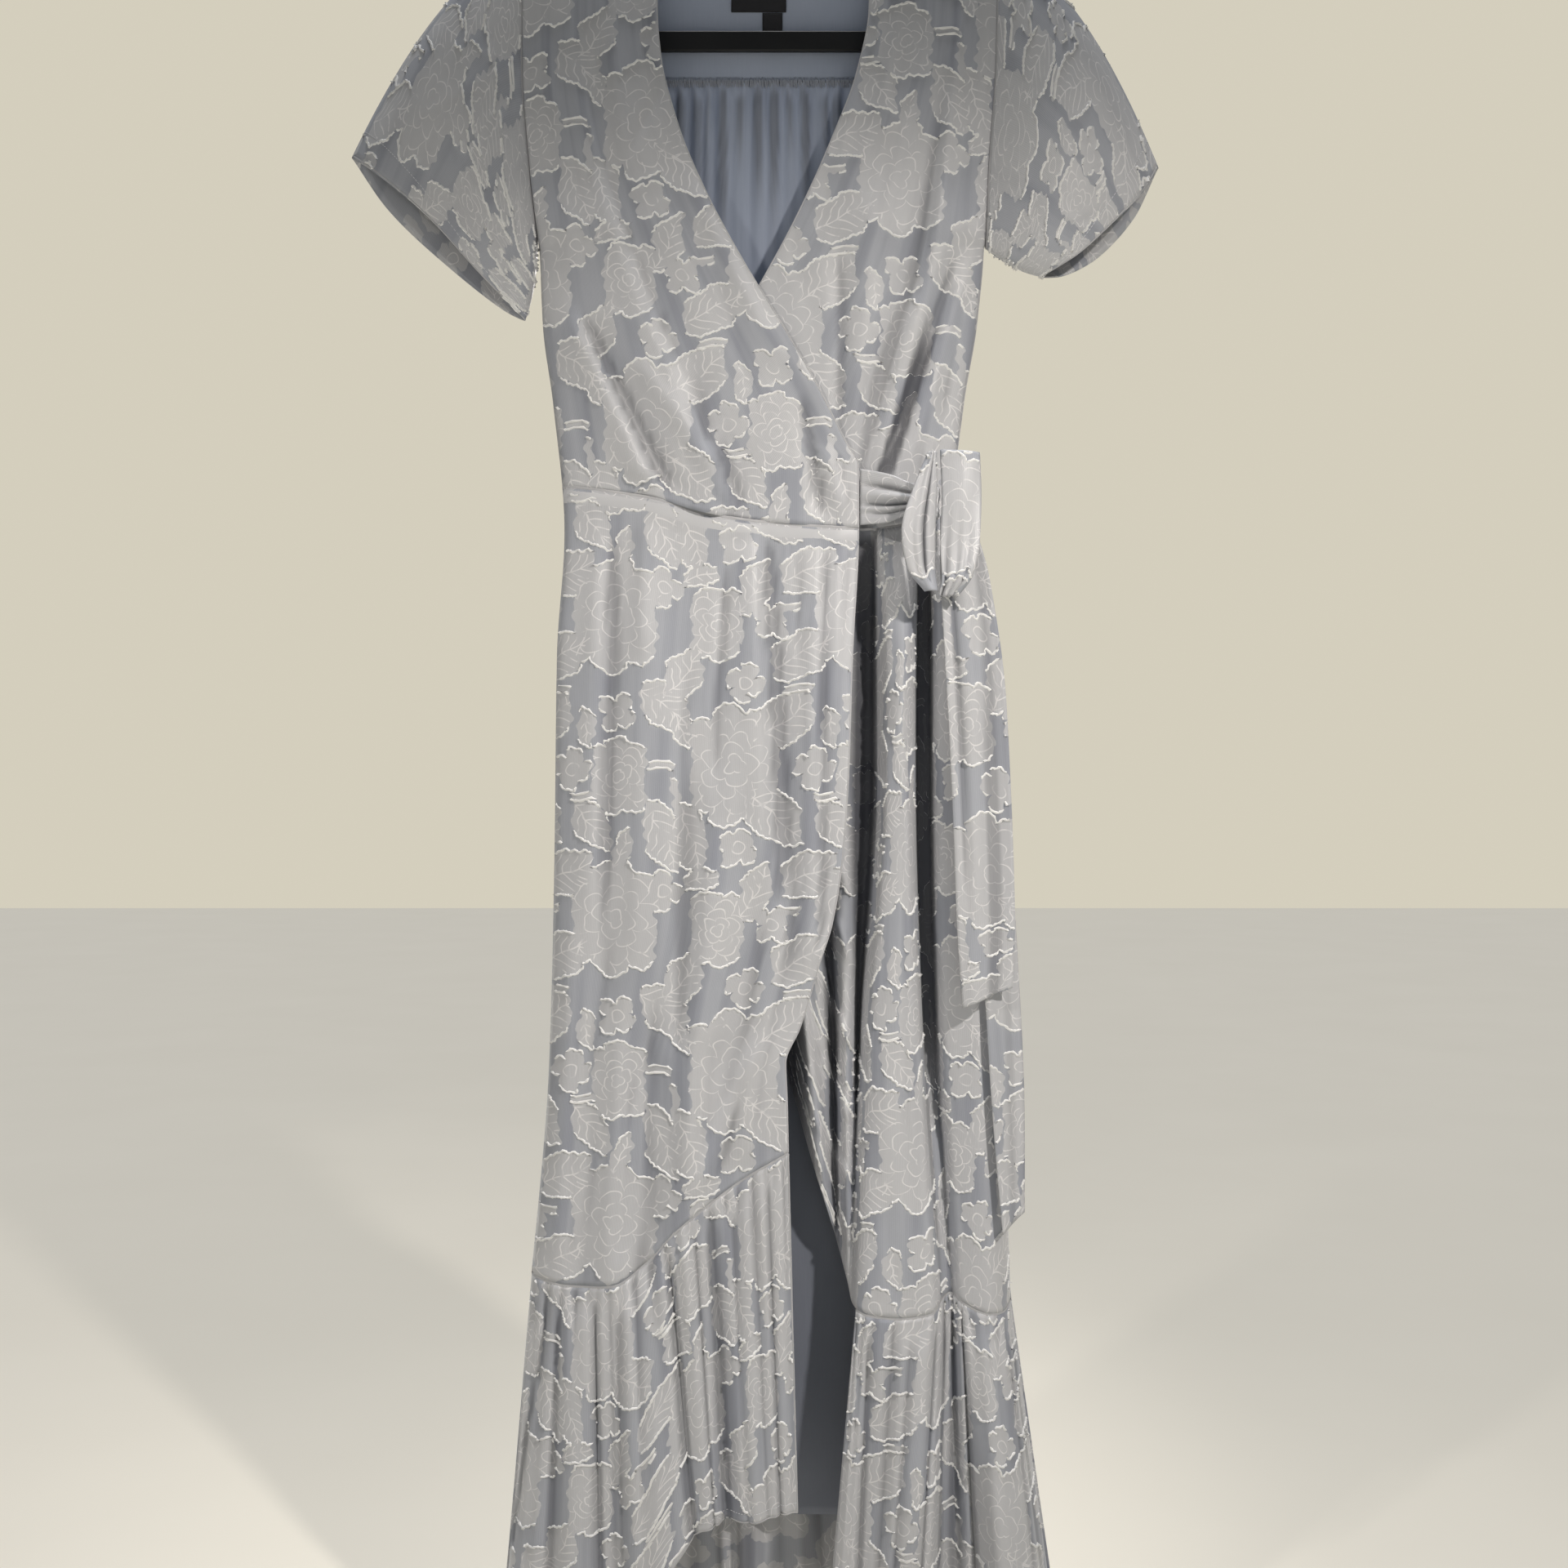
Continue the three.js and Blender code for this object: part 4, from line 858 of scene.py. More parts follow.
def flowerFields(tree):
    # how far inside a motif a place is, and how near to a drawn line, both in millimetres
    along, below = split(tree, node(tree, "ShaderNodeUVMap", {"uv_map": "pattern"}))
    x, y = along * (1 / mm), below * (1 / mm)
    (slow, slowRate), (fast, fastRate), (drop, dropRate) = (stray[name] for name in ("slow", "fast", "down"))
    wx = x - (y * slowRate + 1.0).math("SINE") * slow - (y * fastRate).math("SINE") * fast
    wy = y - (x * dropRate).math("SINE") * drop
    place = node(tree, "ShaderNodeCombineXYZ", {}, {0: wx, 1: wy})
    wide, tall = flowerCloth["wide"], flowerCloth["tall"]
    nearest, drawn = None, None
    for i in range(len(motifs["key"])):
        kind, mx, my, turn, long, short, petals, clip = motif(i)
        off = node(tree, "ShaderNodeVectorMath", {"operation": "SUBTRACT"}, {0: place, 1: (mx, my, 0)})
        near = node(tree, "ShaderNodeVectorMath", {"operation": "WRAP"},
                    {0: off, 1: (wide / 2, tall / 2, 1), 2: (-wide / 2, -tall / 2, -1)})
        turned = node(tree, "ShaderNodeMapping", {"vector_type": "TEXTURE"},
                      {"Vector": near, "Rotation": (0, 0, math.radians(turn))})
        px, py = split(tree, turned)
        line = None
        if kind in petalForms:
            petal = petalForms[kind]
            r = node(tree, "ShaderNodeVectorMath", {"operation": "LENGTH"}, {0: turned}, 1)
            angle = py.math("ARCTAN2", px)
            crowns = (angle * (petals / 2)).math("COSINE").math("ABSOLUTE").math("POWER", petalSharp)
            depth = crowns * (petal["crown"] * long) + petal["hollow"] * long - r
            line = roseLines(r, angle, long, petals) if kind == rose else (r - 0.3 * long).math("ABSOLUTE")
        elif kind == leaf:
            bend = leafBend(long, short)
            flank = py.math("ABSOLUTE")
            rise = flank + (bend - short)
            depth = bend - (px * px + rise * rise).math("SQRT")
            veins = ((px - flank * 0.9) * (1 / 8.5)).math("FRACT") - 0.5
            line = flank.math("MINIMUM", veins.math("ABSOLUTE") * 6.5)
        else:
            depth = (long + short) - px.math("ABSOLUTE")
            depth = depth.math("MINIMUM", short - py.math("ABSOLUTE"))
        if line:
            # a line counts only inside its own motif, clear of the rim
            drawn = lesser(drawn, line + (1.0 - depth.math("GREATER_THAN", 3.0)) * farOff)
        across, _ = split(tree, near)
        depth = depth.math("MINIMUM", clip - across.math("ABSOLUTE"))
        nearest = nearest.math("MAXIMUM", depth) if nearest else depth
    swell = (wx * scallops["across"]).math("SINE") * (wy * scallops["down"]).math("SINE") * scallops["high"]
    return nearest + swell, drawn


def flowerWeave(tree):
    where = clothCoordinates(tree)
    inside, drawn = flowerFields(tree)
    fuzz = noise(tree, where, 900.0, 2.0)
    satin = between(tree, inside + (fuzz - 0.5) * 1.2, -0.2, 0.3)
    ribs = wave(tree, where, 260.0)
    streaks = noise(tree, clothCoordinates(tree, (900, 60, 1)), 1.0)
    cloudy = noise(tree, where, 14.0, 4.0)
    floats = noise(tree, clothCoordinates(tree, (1500, 90, 1)), 1.0, 2.0)
    crumple = noise(tree, where, 60.0, 4.0, 0.6)
    ground = blend(tree, ribs * 0.5 + streaks * 0.4, (0.35, 0.37, 0.42), (0.50, 0.515, 0.56))
    ground = blend(tree, cloudy * 0.6, ground, (0.42, 0.44, 0.485))
    # painted shade: darker bands for the shade in the lining's folds, seen through the sheer ground
    foldShadeBands = between(tree, noise(tree, clothCoordinates(tree, (34, 1.5, 1)), 1.0, 2.5), 0.46, 0.62)
    ground = blend(tree, foldShadeBands * 0.5, ground, (0.22, 0.235, 0.29))
    patch = blend(tree, cloudy, (0.50, 0.51, 0.54), (0.60, 0.605, 0.625))
    patch = blend(tree, foldShadeBands * 0.22, patch, (0.40, 0.41, 0.45))
    patch = blend(tree, floats * 0.3, patch, (0.69, 0.69, 0.70))
    stroke = between(tree, drawn, flowerCloth["lineWidth"] + 0.25, flowerCloth["lineWidth"] - 0.2)
    broken = between(tree, noise(tree, where, 70.0, 2.0), 0.36, 0.5)
    patch = blend(tree, stroke * broken * 0.75, patch, (0.86, 0.85, 0.86))
    # painted shade: the hollow attribute darkens the ground and the patches alike
    colour = paintShade(tree, blend(tree, satin, ground, patch), 0.86, (0.035, 0.037, 0.05))
    height = ribs * 0.22 + streaks * 0.2 + floats * 0.12 + crumple * 0.9
    return {"Base Color": colour, "Roughness": 0.62 - satin * (floats * 0.1 + 0.18),
            "Normal": bump(tree, height, satin * 0.15 + 0.3, 0.0006)}


finish["flower"] = material("flowerWeave", {"Sheen Weight": 0.2, "Sheen Roughness": 0.4}, flowerWeave)
print("flower cloth ready")


# Making cloth: a grid of points laid on a curve's surface, given its thickness by Solidify.
clothThick = 0.9
pieces = {}


def freshObject(name, bm):
    mesh = bpy.data.meshes.new(name)
    bm.to_mesh(mesh)
    bm.free()
    made = bpy.data.objects.new(name, mesh)
    scene.collection.objects.link(made)
    return made


def patternPlace(piece, u, v):
    # where a point of the piece lies on the flower cloth, in millimetres
    if piece["lay"] == "straight":
        across, out, down = piece["surface"](u, v)
        return across + piece["shift"][0], down + piece["shift"][1]
    wide, long = piece["lay"]
    return u * wide + piece["shift"][0], v * long + piece["shift"][1]


valley = {"reach": 11, "least": 0.4, "full": 3.2, "shade": 0.5}


def valleyShade(surface, u, v, face, wide):
    # painted shade for the valleys of folds: how far a place dips below the cloth on either side of it sets
    # how dark it is painted
    step = np.minimum(valley["reach"] / wide, np.minimum(u, 1 - u))
    beside = (surface(u - step, v)[1] + surface(u + step, v)[1]) / 2
    return valley["shade"] * ease(valley["least"], valley["full"], face * (beside - surface(u, v)[1]))


def flatPlaces(mesh):
    # where each point of a new grid or ball lies before it is placed
    found = np.zeros(len(mesh.vertices) * 3)
    mesh.vertices.foreach_get("co", found)
    return found.reshape(-1, 3)


def writeUv(mesh, name, a, b):
    corner = np.zeros(len(mesh.loops), int)
    mesh.loops.foreach_get("vertex_index", corner)
    uvLayer = mesh.uv_layers.get(name) or mesh.uv_layers.new(name=name)
    uvLayer.data.foreach_set("uv", (np.stack([a[corner], b[corner]], 1) * mm).ravel())


def dress(made, cloth):
    made.data.shade_smooth()
    made.data.materials.append(finish[cloth])
    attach(made, "root")


def clothPiece(nodeName, surface, cut, area=None, held="hung", rests=(), spacing=4.6, face=1, closed=False,
               lay="straight", shift=(300, 40), cloth="flower", slot="dress_cloth", thick=clothThick,
               hollow=None):
    # cut is the flat width and length, area the flat area, which is not used, lay and shift where the piece
    # lies on the pattern
    name = nodeName + "_cloth"
    wide, long = cut
    columns, rows = max(6, round(wide / spacing)), max(4, round(long / spacing))
    bm = bmesh.new()
    bmesh.ops.create_grid(bm, x_segments=columns, y_segments=rows, size=0.5)
    made = freshObject(name, bm)
    mesh = made.data
    flatPlace = flatPlaces(mesh)
    u, v = flatPlace[:, 0] + 0.5, 0.5 - flatPlace[:, 1]
    mesh.vertices.foreach_set("co", points(surface, u, v).ravel())
    piece = {"surface": surface, "lay": lay, "shift": shift, "face": face, "closed": closed, "cloth": cloth,
             "thick": thick, "hollow": hollow}
    writeUv(mesh, "cloth", u * wide, v * long)
    writeUv(mesh, "pattern", *patternPlace(piece, u, v))
    # painted shade: fold valleys, and the piece's own hollow where one is given, go into the hollow attribute
    # that darkens its colour
    dark = valleyShade(surface, u, v, face, wide)
    if hollow:
        dark = np.maximum(dark, hollow(u, v))
    mesh.attributes.new("hollow", "FLOAT", "POINT").data.foreach_set("value", dark)
    bm = bmesh.new()
    bm.from_mesh(mesh)
    if closed:
        bmesh.ops.remove_doubles(bm, verts=bm.verts, dist=1e-5)
    if face < 0:
        bmesh.ops.reverse_faces(bm, faces=bm.faces)
    bm.to_mesh(mesh)
    bm.free()
    solid = made.modifiers.new("clothThickness", "SOLIDIFY")
    solid.thickness, solid.offset = thick * mm, 0.0
    dress(made, cloth)
    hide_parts(nodeName)
    wide * mm
    long * mm
    pieces[name] = piece


def sew(group):
    for nodeName, piece in group.items():
        clothPiece(nodeName, **piece)


def motifDepth(i, wx, wy):
    # how far inside motif i a place of the repeat is, as the weave's own shader has it
    kind, x, y, turn, long, short, petals, clip = motif(i)
    wide, tall = flowerCloth["wide"], flowerCloth["tall"]
    dx = (wx - x + wide / 2) % wide - wide / 2
    dy = (wy - y + tall / 2) % tall - tall / 2
    a = math.radians(turn)
    px, py = dx * math.cos(a) + dy * math.sin(a), dy * math.cos(a) - dx * math.sin(a)
    if kind in petalForms:
        depth = petalRadius(kind, long, petals, np.arctan2(py, px)) - np.hypot(px, py)
    elif kind == leaf:
        bend = leafBend(long, short)
        depth = bend - np.hypot(px, np.abs(py) + bend - short)
    else:
        depth = np.minimum(long + short - np.abs(px), short - np.abs(py))
    return np.minimum(depth, clip - np.abs(dx))


def shownOutlines():
    # each motif's outline, without the stretches that run inside another motif
    found = []
    count = len(motifs["key"])
    for i in range(count):
        x, y, level = motifOutline(i)
        covered = np.max([motifDepth(j, x, y) for j in range(count) if j != i], axis=0)
        found.append((x, y, level, covered < 0.8))
    return found


facingSample = 400     # how many faces are asked which way a ridge faces


def ridge(name, spots, cloth):
    # a fine raised line: spots hold its places, the way out, its half width, its height and where it stops
    place, out, half, high, stop = spots
    count = len(place)
    along = np.gradient(place, axis=0)
    along[1:-1] = np.where(stop[1:-1, None], place[1:-1] - place[:-2], along[1:-1])
    side = np.cross(out, along)
    side /= np.maximum(np.linalg.norm(side, axis=1, keepdims=True), 1e-12)
    rows = np.stack([place - side * half[:, None], place + out * high[:, None], place + side * half[:, None]])
    bm = bmesh.new()
    bmesh.ops.create_grid(bm, x_segments=count - 1, y_segments=2, size=0.5)
    made = freshObject(name, bm)
    mesh = made.data
    flatPlace = flatPlaces(mesh)
    column = np.rint((flatPlace[:, 0] + 0.5) * (count - 1)).astype(int)
    row = np.rint((flatPlace[:, 1] + 0.5) * 2).astype(int)
    mesh.vertices.foreach_set("co", rows[row, column].ravel())
    bm = bmesh.new()
    bm.from_mesh(mesh)
    bm.verts.ensure_lookup_table()
    bridging = [f for f in bm.faces if stop[min(column[v.index] for v in f.verts)]]
    bmesh.ops.delete(bm, geom=bridging, context="FACES")
    bm.normal_update()
    facing = sum(f.normal.dot(out[min(column[v.index] for v in f.verts)])
                 for f in list(bm.faces)[:facingSample])
    if facing < 0:
        bmesh.ops.reverse_faces(bm, faces=bm.faces)
    loose = [v for v in bm.verts if not v.link_faces]
    bmesh.ops.delete(bm, geom=loose, context="VERTS")
    bm.to_mesh(mesh)
    bm.free()
    dress(made, cloth)


threads = {"half": 1.35, "high": 2.3, "least": 0.4, "sunk": 0.1, "clear": 0.006, "seed": 100}
outlines = shownOutlines()


def threadEdging(name, seed):
    # clipped threads stand along the motifs' level edges, and hardly show on the upright ones
    piece = pieces[name]
    surface, wide, tall = piece["surface"], flowerCloth["wide"], flowerCloth["tall"]
    (slow, slowRate), (fast, fastRate), (drop, dropRate) = (stray[part] for part in ("slow", "fast", "down"))
    draw = np.random.default_rng(seed)
    clear = threads["clear"]
    edge = 0.0 if piece["closed"] else clear
    gu, gv = np.meshgrid(np.linspace(0, 1, 30), np.linspace(0, 1, 30))
    px, py = patternPlace(piece, gu.ravel(), gv.ravel())
    found = []
    for i in range(math.floor(px.min() / wide) - 1, math.ceil(px.max() / wide) + 1):
        for j in range(math.floor(py.min() / tall) - 1, math.ceil(py.max() / tall) + 1):
            for sx, sy, level, shown in outlines:
                gx, gy = sx + i * wide, sy + j * tall
                x, y = gx.copy(), gy.copy()
                for _ in range(3):
                    x = gx + slow * np.sin(y * slowRate + 1) + fast * np.sin(y * fastRate)
                    y = gy + drop * np.sin(x * dropRate)
                x, y = x - piece["shift"][0], y - piece["shift"][1]
                if piece["lay"] == "straight":
                    u, v = surface.place(x, y)
                else:
                    u, v = x / piece["lay"][0], y / piece["lay"][1]
                kept = shown & (u > edge) & (u < 1 - edge) & (v > clear) & (v < 1 - clear)
                kept = kept & (level > threads["least"])
                if kept.sum() < 3:
                    continue
                at = np.flatnonzero(kept)
                stop = np.append(np.diff(at) > 1, True)
                found.append(np.stack([u[at], v[at], level[at], stop]))
    if not found:
        return
    u, v, level, stop = np.concatenate(found, axis=1)
    strength = 0.45 + 0.55 * ease(0.35, 0.75, level)
    if piece["hollow"]:
        strength = strength * (1 - 0.9 * piece["hollow"](u, v))
    bead = np.where(np.arange(len(u)) % 2, 0.5 + 0.5 * draw.random(len(u)), 0.42 * draw.random(len(u)))
    out = normals(surface, u, v, piece["face"])
    place = points(surface, u, v) + out * (piece["thick"] / 2 - threads["sunk"]) * mm
    half = threads["half"] * (0.5 + 0.5 * bead) * strength * mm
    high = (threads["sunk"] + threads["high"] * (0.2 + 0.8 * bead) * strength) * mm
    ridge(name + "_threads", (place, out, half, high, stop.astype(bool)), "thread")


seamStep = 2.4         # between two points of a plain seam
farSided = (backSkirt, backBodice, backFlounce, leftSleeve)   # surfaces whose outside is their far side


def seamLine(name, line, cloth, runs):
    # a run has its surface, and u and v of where it starts and ends
    half, high, off, stitch = (line[part] for part in ("half", "high", "off", "stitch"))
    places, outs, halves, highs, stops = [], [], [], [], []
    for surface, (u0, v0), (u1, v1) in runs:
        rough = points(surface, np.linspace(u0, u1, 60), np.linspace(v0, v1, 60))
        length = np.linalg.norm(np.diff(rough, axis=0), axis=1).sum() / mm
        count = max(4, int(length / (stitch / 3 if stitch else seamStep)))
        u, v = np.linspace(u0, u1, count), np.linspace(v0, v1, count)
        out = normals(surface, u, v, -1 if surface in farSided else 1)
        places.append(points(surface, u, v) + out * off * mm)
        outs.append(out)
        halves.append(np.full(count, half * mm))
        highs.append(np.full(count, high * mm))
        stop = (np.arange(count) % 3 == 2) if stitch else np.zeros(count, bool)
        stop[-1] = True
        stops.append(stop)
    spots = [np.concatenate(part) for part in (places, outs, halves, highs, stops)]
    ridge(name, spots, cloth)


dragFold = {"top": 430, "tall": 124, "across": (136, 97), "rim": 8.5, "core": 5.5, "shade": 0.97}


def dragShadow(u, v):
    # painted shadow along the drag fold beside the tie
    across, _, down = innerBodice(u, v)
    along = (down - dragFold["top"]) / dragFold["tall"]
    off = np.abs(across - mix(*dragFold["across"], along))
    ends = ease(-0.1, 0.35, along) * ease(1.15, 1.0, along)
    return dragFold["shade"] * ease(dragFold["rim"], dragFold["core"], off) * ends


# The dress, piece by piece, by the names of its nodes
sew({
    "bodice_front_over": {"surface": outerBodice, "cut": (263, 535), "area": 0.0785, "rests": ["hanger_body"],
                          "shift": (330, 12)},
    "bodice_front_under": {"surface": innerBodice, "cut": (245, 505), "area": 0.077, "rests": ["hanger_body"],
                           "shift": (228, 86), "hollow": dragShadow, "spacing": 3.2},
    "back_yoke": {"surface": backYoke, "cut": (400, 128), "area": 0.043, "rests": ["hanger_body"],
                  "shift": (290, 130), "face": -1},
    "bodice_back": {"surface": backBodice, "cut": (410, 356), "area": 0.1205, "held": "gathered",
                    "rests": ["back_yoke"], "shift": (240, 30), "face": -1, "spacing": 4.2},
    "skirt_front_over": {"surface": outerSkirt, "cut": (273, 625), "area": 0.1385,
                         "rests": ["bodice_front_over"], "shift": (262, -20)},
    "skirt_front_under": {"surface": innerSkirt, "cut": (426, 628), "area": 0.19,
                          "rests": ["bodice_front_under"], "lay": (370, 628), "shift": (120, 620),
                          "hollow": hollowAt},
    "skirt_back": {"surface": backSkirt, "cut": (410, 648), "area": 0.234, "rests": ["bodice_back"],
                   "shift": (310, 70), "face": -1, "spacing": 5.2},
    "flounce_over": {"surface": outerFlounce, "cut": (335, 275), "area": 0.0715, "held": "gathered",
                     "rests": ["skirt_front_over"], "lay": (310, 275), "shift": (150, 250), "spacing": 4},
    "flounce_under": {"surface": innerFlounce, "cut": (287, 262), "area": 0.0625, "held": "gathered",
                      "rests": ["skirt_front_under"], "lay": (258, 262), "shift": (40, 130), "spacing": 4},
    "flounce_back": {"surface": backFlounce, "cut": (542, 270), "area": 0.1305, "held": "gathered",
                     "rests": ["skirt_back"], "lay": (520, 270), "shift": (80, 20), "spacing": 4.8,
                     "face": -1},
})
print("panels ready")

sew({
    "sleeve_right": {"surface": rightSleeve, "cut": (505, 222), "area": 0.054, "rests": ["bodice_front_over"],
                     "lay": (490, 200), "shift": (70, 40), "closed": True},
    "sleeve_left": {"surface": leftSleeve, "cut": (490, 227), "area": 0.051, "rests": ["bodice_front_under"],
                    "lay": (470, 200), "shift": (10, 150), "closed": True, "face": -1},
})
print("sleeves ready")

liningLook = {"face": -1, "cloth": "lining", "slot": "lining_cloth"}
skirtLiningShade = 0.62      # painted shade over the whole lining of the skirt, for the shadow inside it
sew({
    "yoke_lining": {"surface": yokeLining, "cut": (270, 118), "area": 0.027, "rests": ["back_yoke"],
                    **liningLook},
    "bodice_back_lining": {"surface": bodiceLining, "cut": (345, 365), "area": 0.107,
                           "rests": ["bodice_back"], "spacing": 3, **liningLook},
    "skirt_back_lining": {"surface": skirtLining, "cut": (385, 830), "area": 0.272, "rests": ["skirt_back"],
                          "spacing": 7, "hollow": lambda u, v: skirtLiningShade + 0 * u, **liningLook},
})
print("linings ready")

sew({
    "tie_strap": {"surface": tieStrap, "cut": (50, 55), "area": 0.0026, "held": "folded",
                  "rests": ["skirt_front_over"], "lay": (45, 55), "shift": (20, 30), "spacing": 2},
    "bow_loop_left": {"surface": leftLobe, "cut": (34, 118), "area": 0.0032, "held": "folded",
                      "rests": ["tie_knot"], "lay": (30, 118), "shift": (131, 120), "spacing": 2},
    "bow_loop_right": {"surface": rightLobe, "cut": (34, 116), "area": 0.0037, "held": "folded",
                       "rests": ["tie_knot"], "lay": (31, 116), "shift": (36, 10), "spacing": 2},
    "tie_tail_front": {"surface": frontTail, "cut": (50, 377), "area": 0.0175, "rests": ["tie_knot"],
                       "lay": (48, 377), "shift": (20, 40), "spacing": 3},
    "tie_tail_back": {"surface": backTail, "cut": (30, 553), "area": 0.0158, "rests": ["tie_knot"],
                      "lay": (30, 553), "shift": (120, 60), "spacing": 3.4},
})
knot = {"at": (128, 53.5, 586), "size": (7.5, 7.2, 17), "blunt": 0.62}


def tieKnot():
    # one short turn of the tie round itself, with slanting folds pressed into it
    bm = bmesh.new()
    bmesh.ops.create_uvsphere(bm, u_segments=72, v_segments=48, radius=1)
    made = freshObject("tie_knot_cloth", bm)
    mesh = made.data
    p = flatPlaces(mesh)
    full = np.sign(p) * np.abs(p) ** knot["blunt"]
    turn = np.arctan2(p[:, 1], p[:, 0])
    fold = 0.09 * np.sin(9 * p[:, 2] + 1.6 * np.sin(turn)) + 0.05 * np.sin(21 * p[:, 2] - 2 * turn)
    full *= (0.93 + fold * (1 - p[:, 2] ** 2))[:, None] ** np.array([1, 1, 0.2])
    x, out, down = knot["at"]
    placed = full * np.array(knot["size"]) + np.array([x, -out, -down])
    mesh.vertices.foreach_set("co", (placed * mm).ravel())
    for layerName in ("cloth", "pattern"):
        writeUv(mesh, layerName, placed[:, 0] + 80, placed[:, 2] + 640)
    dress(made, "flower")
    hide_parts("tie_knot")


tieKnot()
print("tie ready")

edged = [name for name, piece in pieces.items() if piece["cloth"] == "flower"]
for order, name in enumerate(edged):
    threadEdging(name, threads["seed"] + order)
print("threads ready")

# Turned edges lie as a fine cord, and hems are stitched just above them
cord = {"half": 0.5, "high": 0.3, "off": 0.45, "stitch": 0}
welt = {"half": 1.5, "high": 0.55, "off": 0.1, "stitch": 0}
waistBand = {"half": 5.6, "high": 0.7, "off": 0.3, "stitch": 0}
stitches = {"half": 0.22, "high": 0.3, "off": 0.45, "stitch": 3.0}
wrapSide = ((0.997, 0), (0.997, 1))


def levelRun(v, start=0, end=1):
    return (start, v), (end, v)


seamLine("turned_edges", cord, "seam", [
    (outerBodice, *wrapSide), (outerSkirt, *wrapSide), (innerBodice, (0.003, 0), (0.003, 0.7)),
    (outerFlounce, *wrapSide), (outerFlounce, *levelRun(0.997)), (innerFlounce, *levelRun(0.997)),
    (backFlounce, *levelRun(0.997)), (rightSleeve, *levelRun(0.995)), (leftSleeve, *levelRun(0.995)),
])
sewnOn = (backSkirt, backBodice, outerFlounce, innerFlounce, backFlounce, rightSleeve, leftSleeve)
seamLine("joining_seams", welt, "seam", [(outerSkirt, *levelRun(0)), (innerSkirt, *levelRun(0, 0.3))]
         + [(surface, *levelRun(0)) for surface in sewnOn])
seamLine("waist_band", waistBand, "patch", [(outerSkirt, *levelRun(0.0115, 0.004, 0.994))])
seamLine("hem_stitches", stitches, "line", [
    (outerFlounce, *levelRun(0.972, 0.003, 0.997)), (innerFlounce, *levelRun(0.975, 0.003, 0.997)),
    (backFlounce, *levelRun(0.975, 0.003, 0.997)), (rightSleeve, *levelRun(0.93)),
    (leftSleeve, *levelRun(0.93)),
])
print("seams ready")

liningFace = 4.3       # from the back's own curve to what is sewn on the lining


def onLining(left, right, top, foot):
    def surface(share, v):
        across, down = mix(left, right, share), mix(top, foot, v)
        return across, depthAt(across, down, -1, 0) + liningFace, down
    return surface


serging = {"across": (-92, 92), "down": (236.5, 243), "seed": 41, "loops": 150}
sergeLoop = {"half": [0.3, 0.55, 0.55, 0.3], "high": [0.4, 1.3, 1.3, 0.5]}


def sergedSeam():
    # the overlocked seam inside the yoke: a fuzzy band of upright loops
    band = onLining(*serging["across"], *serging["down"])
    draw = np.random.default_rng(serging["seed"])
    count = serging["loops"]
    places = []
    for k in range(count):
        u = (k + 0.5) / count + draw.normal(0, 0.001)
        v = np.array([0.0 - 0.15 * draw.random(), 0.3, 0.7, 1.0 + 0.25 * draw.random()])
        across = np.full(4, np.clip(u, 0.01, 0.99)) + np.array([0, 0.001, 0.002, 0.003])
        places.append(points(band, across, v))
    out, stop = np.tile([0.0, -1.0, 0.0], (4 * count, 1)), np.tile([False, False, False, True], count)
    half, high = (np.tile(sergeLoop[part], count) * mm for part in ("half", "high"))
    ridge("yoke_inside_serging", (np.concatenate(places), out, half, high, stop), "serge")


sergedSeam()
tape = {"rests": ["yoke_lining"], "shift": (0, 0), "spacing": 2, "thick": 0.6, "cloth": "label",
        "slot": "label_cloth"}
sew({
    "neck_label": {"surface": onLining(-26, 18, 150, 184), "cut": (44, 34), "lay": (44, 34), **tape},
    "size_tab": {"surface": onLining(-1, 15, 184.6, 207), "cut": (16, 22.4), "lay": (16, 22.4), **tape},
})
for nodeName, finishName in (("hanger_body", "moulding"), ("hanger_hook", "steel")):
    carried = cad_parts[nodeName]
    carried.data.materials.clear()
    carried.data.materials.append(finish[finishName])
print("label and hanger ready")

# The pale floor, the light and the camera
studio = {"floorDown": 1.56, "floorSize": 9.0, "seen": (0.66, 0.62, 0.51), "light": (0.80, 0.84, 0.92),
          "ambient": 0.09, "overhead": 1.9, "overheadAngle": 20}
bm = bmesh.new()
bmesh.ops.create_grid(bm, x_segments=2, y_segments=2, size=studio["floorSize"])
bmesh.ops.translate(bm, verts=bm.verts, vec=(0, 0, -studio["floorDown"]))
floor = freshObject("floor", bm)


def paleFloor(tree):
    where = objectPlace(tree)
    cloudy = noise(tree, where, 3.0, 3.0)
    return {"Base Color": blend(tree, cloudy, (0.84, 0.80, 0.70), (0.88, 0.84, 0.74))}


floor.data.materials.append(material("paleFloor", {"Roughness": 0.8}, paleFloor))

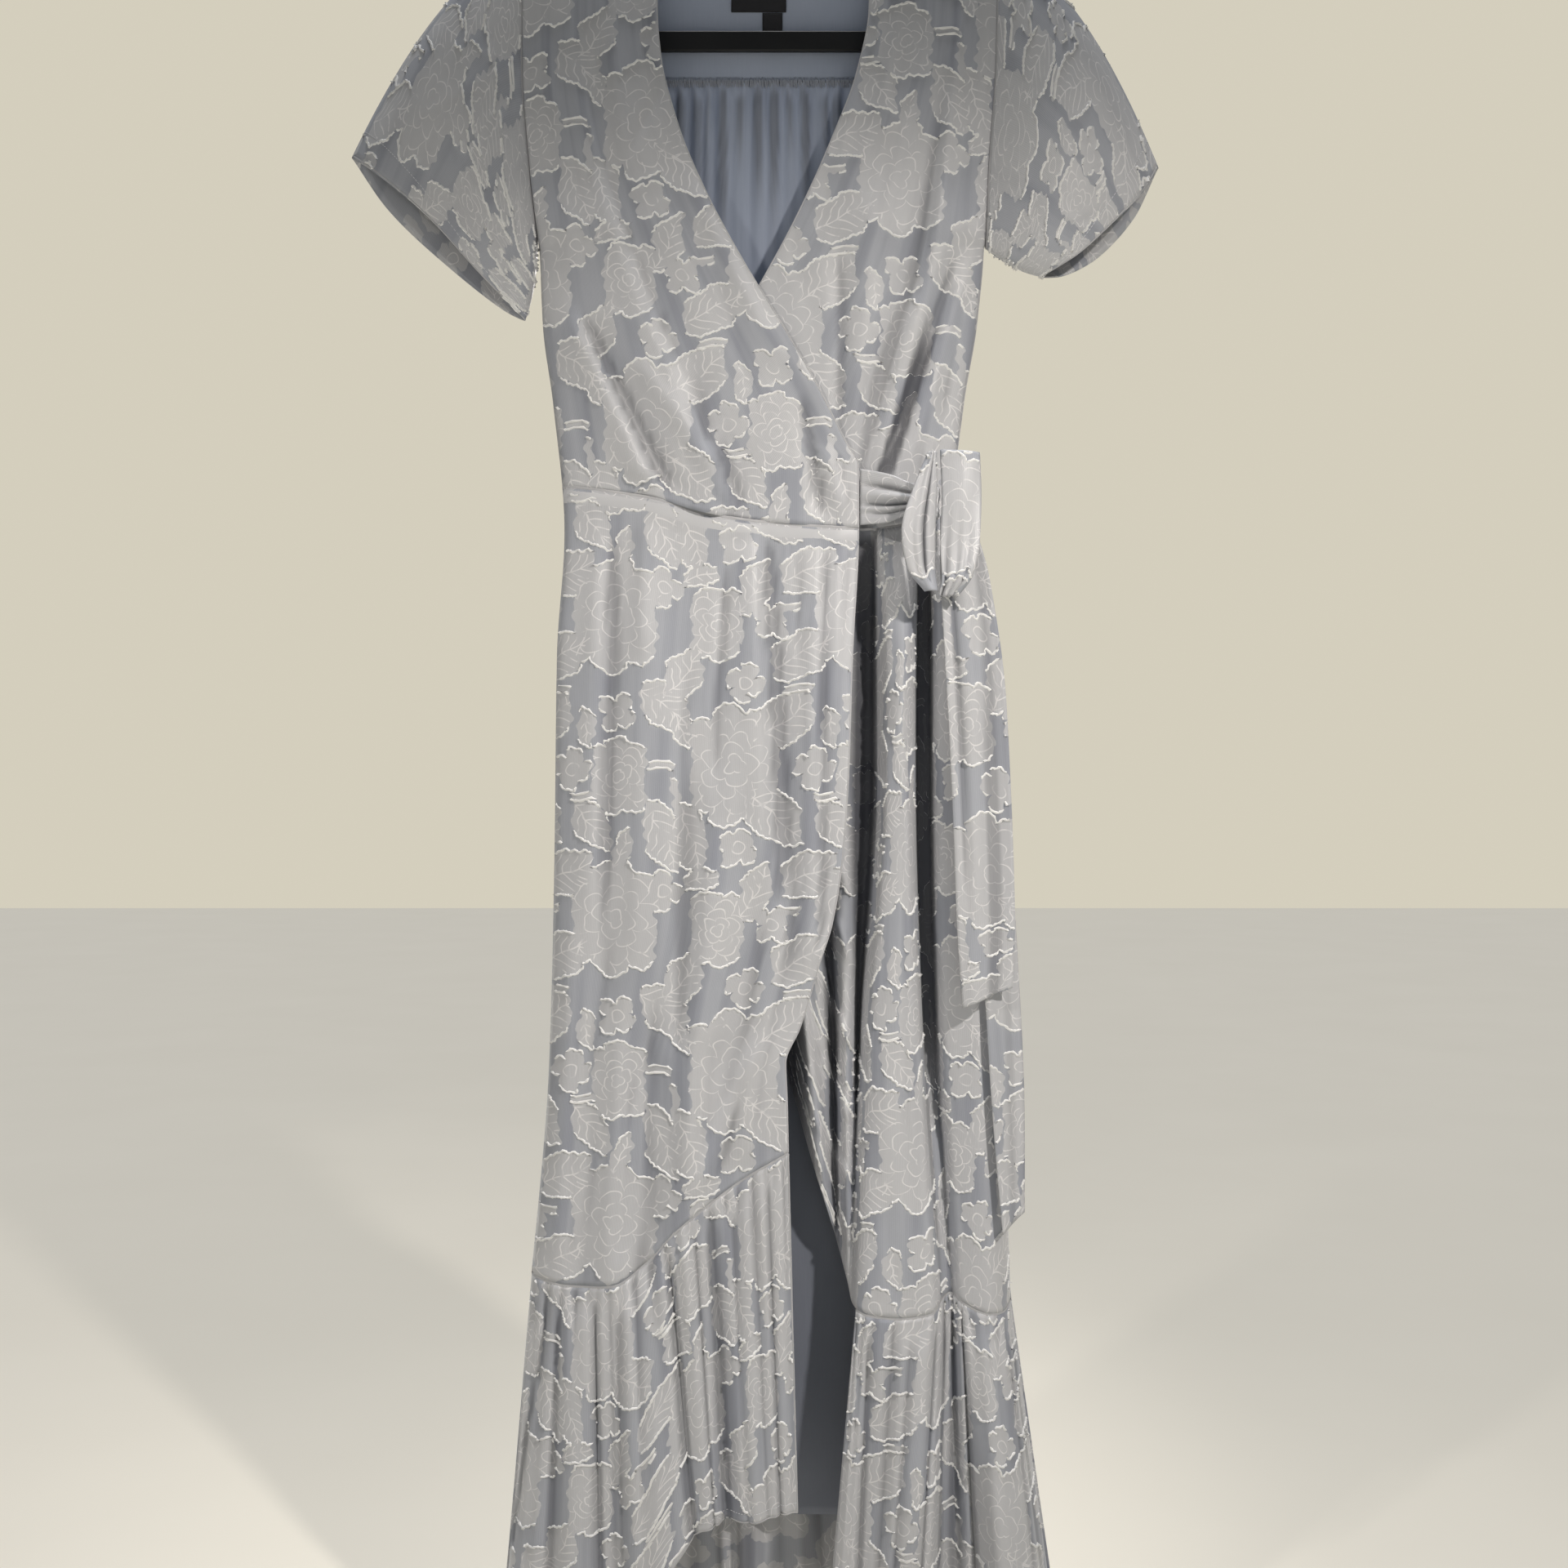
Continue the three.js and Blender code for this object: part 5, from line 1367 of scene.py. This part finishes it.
world = bpy.data.worlds.new("studioWorld")
scene.world = world
world.use_nodes = True
sky = world.node_tree
backdrop = sky.nodes["Background"]
backdrop.inputs["Color"].default_value = (*studio["light"], 1)
backdrop.inputs["Strength"].default_value = studio["ambient"]
wall = sky.nodes.new("ShaderNodeBackground")
wall.inputs["Color"].default_value = (*studio["seen"], 1)
path = sky.nodes.new("ShaderNodeLightPath")
both = sky.nodes.new("ShaderNodeMixShader")
sky.links.new(path.outputs["Is Camera Ray"], both.inputs[0])
sky.links.new(backdrop.outputs[0], both.inputs[1])
sky.links.new(wall.outputs[0], both.inputs[2])
sky.links.new(both.outputs[0], sky.nodes["World Output"].inputs[0])
scene.view_settings.view_transform = "Standard"

lamps = {
    "keyRight": {"at": (0.95, -1.5, 0.3), "aim": (0.06, 0, -0.9), "radius": 0.05, "energy": 106, "cone": 37,
                 "colour": (1.0, 0.94, 0.87)},
    "keyLeft": {"at": (-1.05, -1.35, 0.3), "aim": (0.02, 0, -0.93), "radius": 0.05, "energy": 36, "cone": 37,
                "colour": (1.0, 0.94, 0.87)},
    "front": {"at": (0.3, -2.6, -0.3), "aim": (0.05, 0, -0.75), "radius": 0.7, "energy": 8, "cone": 50,
              "colour": (0.80, 0.90, 1.0)},
    "behind": {"at": (0.5, 2.3, 0.3), "aim": (0, 0, -0.8), "radius": 0.4, "energy": 90, "cone": 60,
               "colour": (1.0, 0.955, 0.915)},
}
for lampName, lamp in lamps.items():
    light = bpy.data.lights.new(lampName, "SPOT")
    light.shadow_soft_size, light.energy, light.color = lamp["radius"], lamp["energy"], lamp["colour"]
    light.spot_size, light.spot_blend = math.radians(lamp["cone"]), 1.0
    placed = bpy.data.objects.new(lampName, light)
    placed.location = lamp["at"]
    placed.rotation_euler = (placed.location - Vector(lamp["aim"])).to_track_quat("Z", "Y").to_euler()
    scene.collection.objects.link(placed)

overhead = bpy.data.lights.new("overhead", "SUN")   # straight down, for the floor
overhead.energy, overhead.angle = studio["overhead"], math.radians(studio["overheadAngle"])
scene.collection.objects.link(bpy.data.objects.new("overhead", overhead))

viewing = {"at": (0.01625, -1.35, -0.8022), "frameWidth": 1.248, "sensor": 36.0}
lens = bpy.data.cameras.new("camera")
lens.sensor_width = viewing["sensor"]
lens.lens = viewing["sensor"] * -viewing["at"][1] / viewing["frameWidth"]
camera = bpy.data.objects.new("camera", lens)
camera.location = viewing["at"]
camera.rotation_euler = (math.radians(90), 0, 0)
scene.collection.objects.link(camera)
scene.camera = camera
print("studio ready")
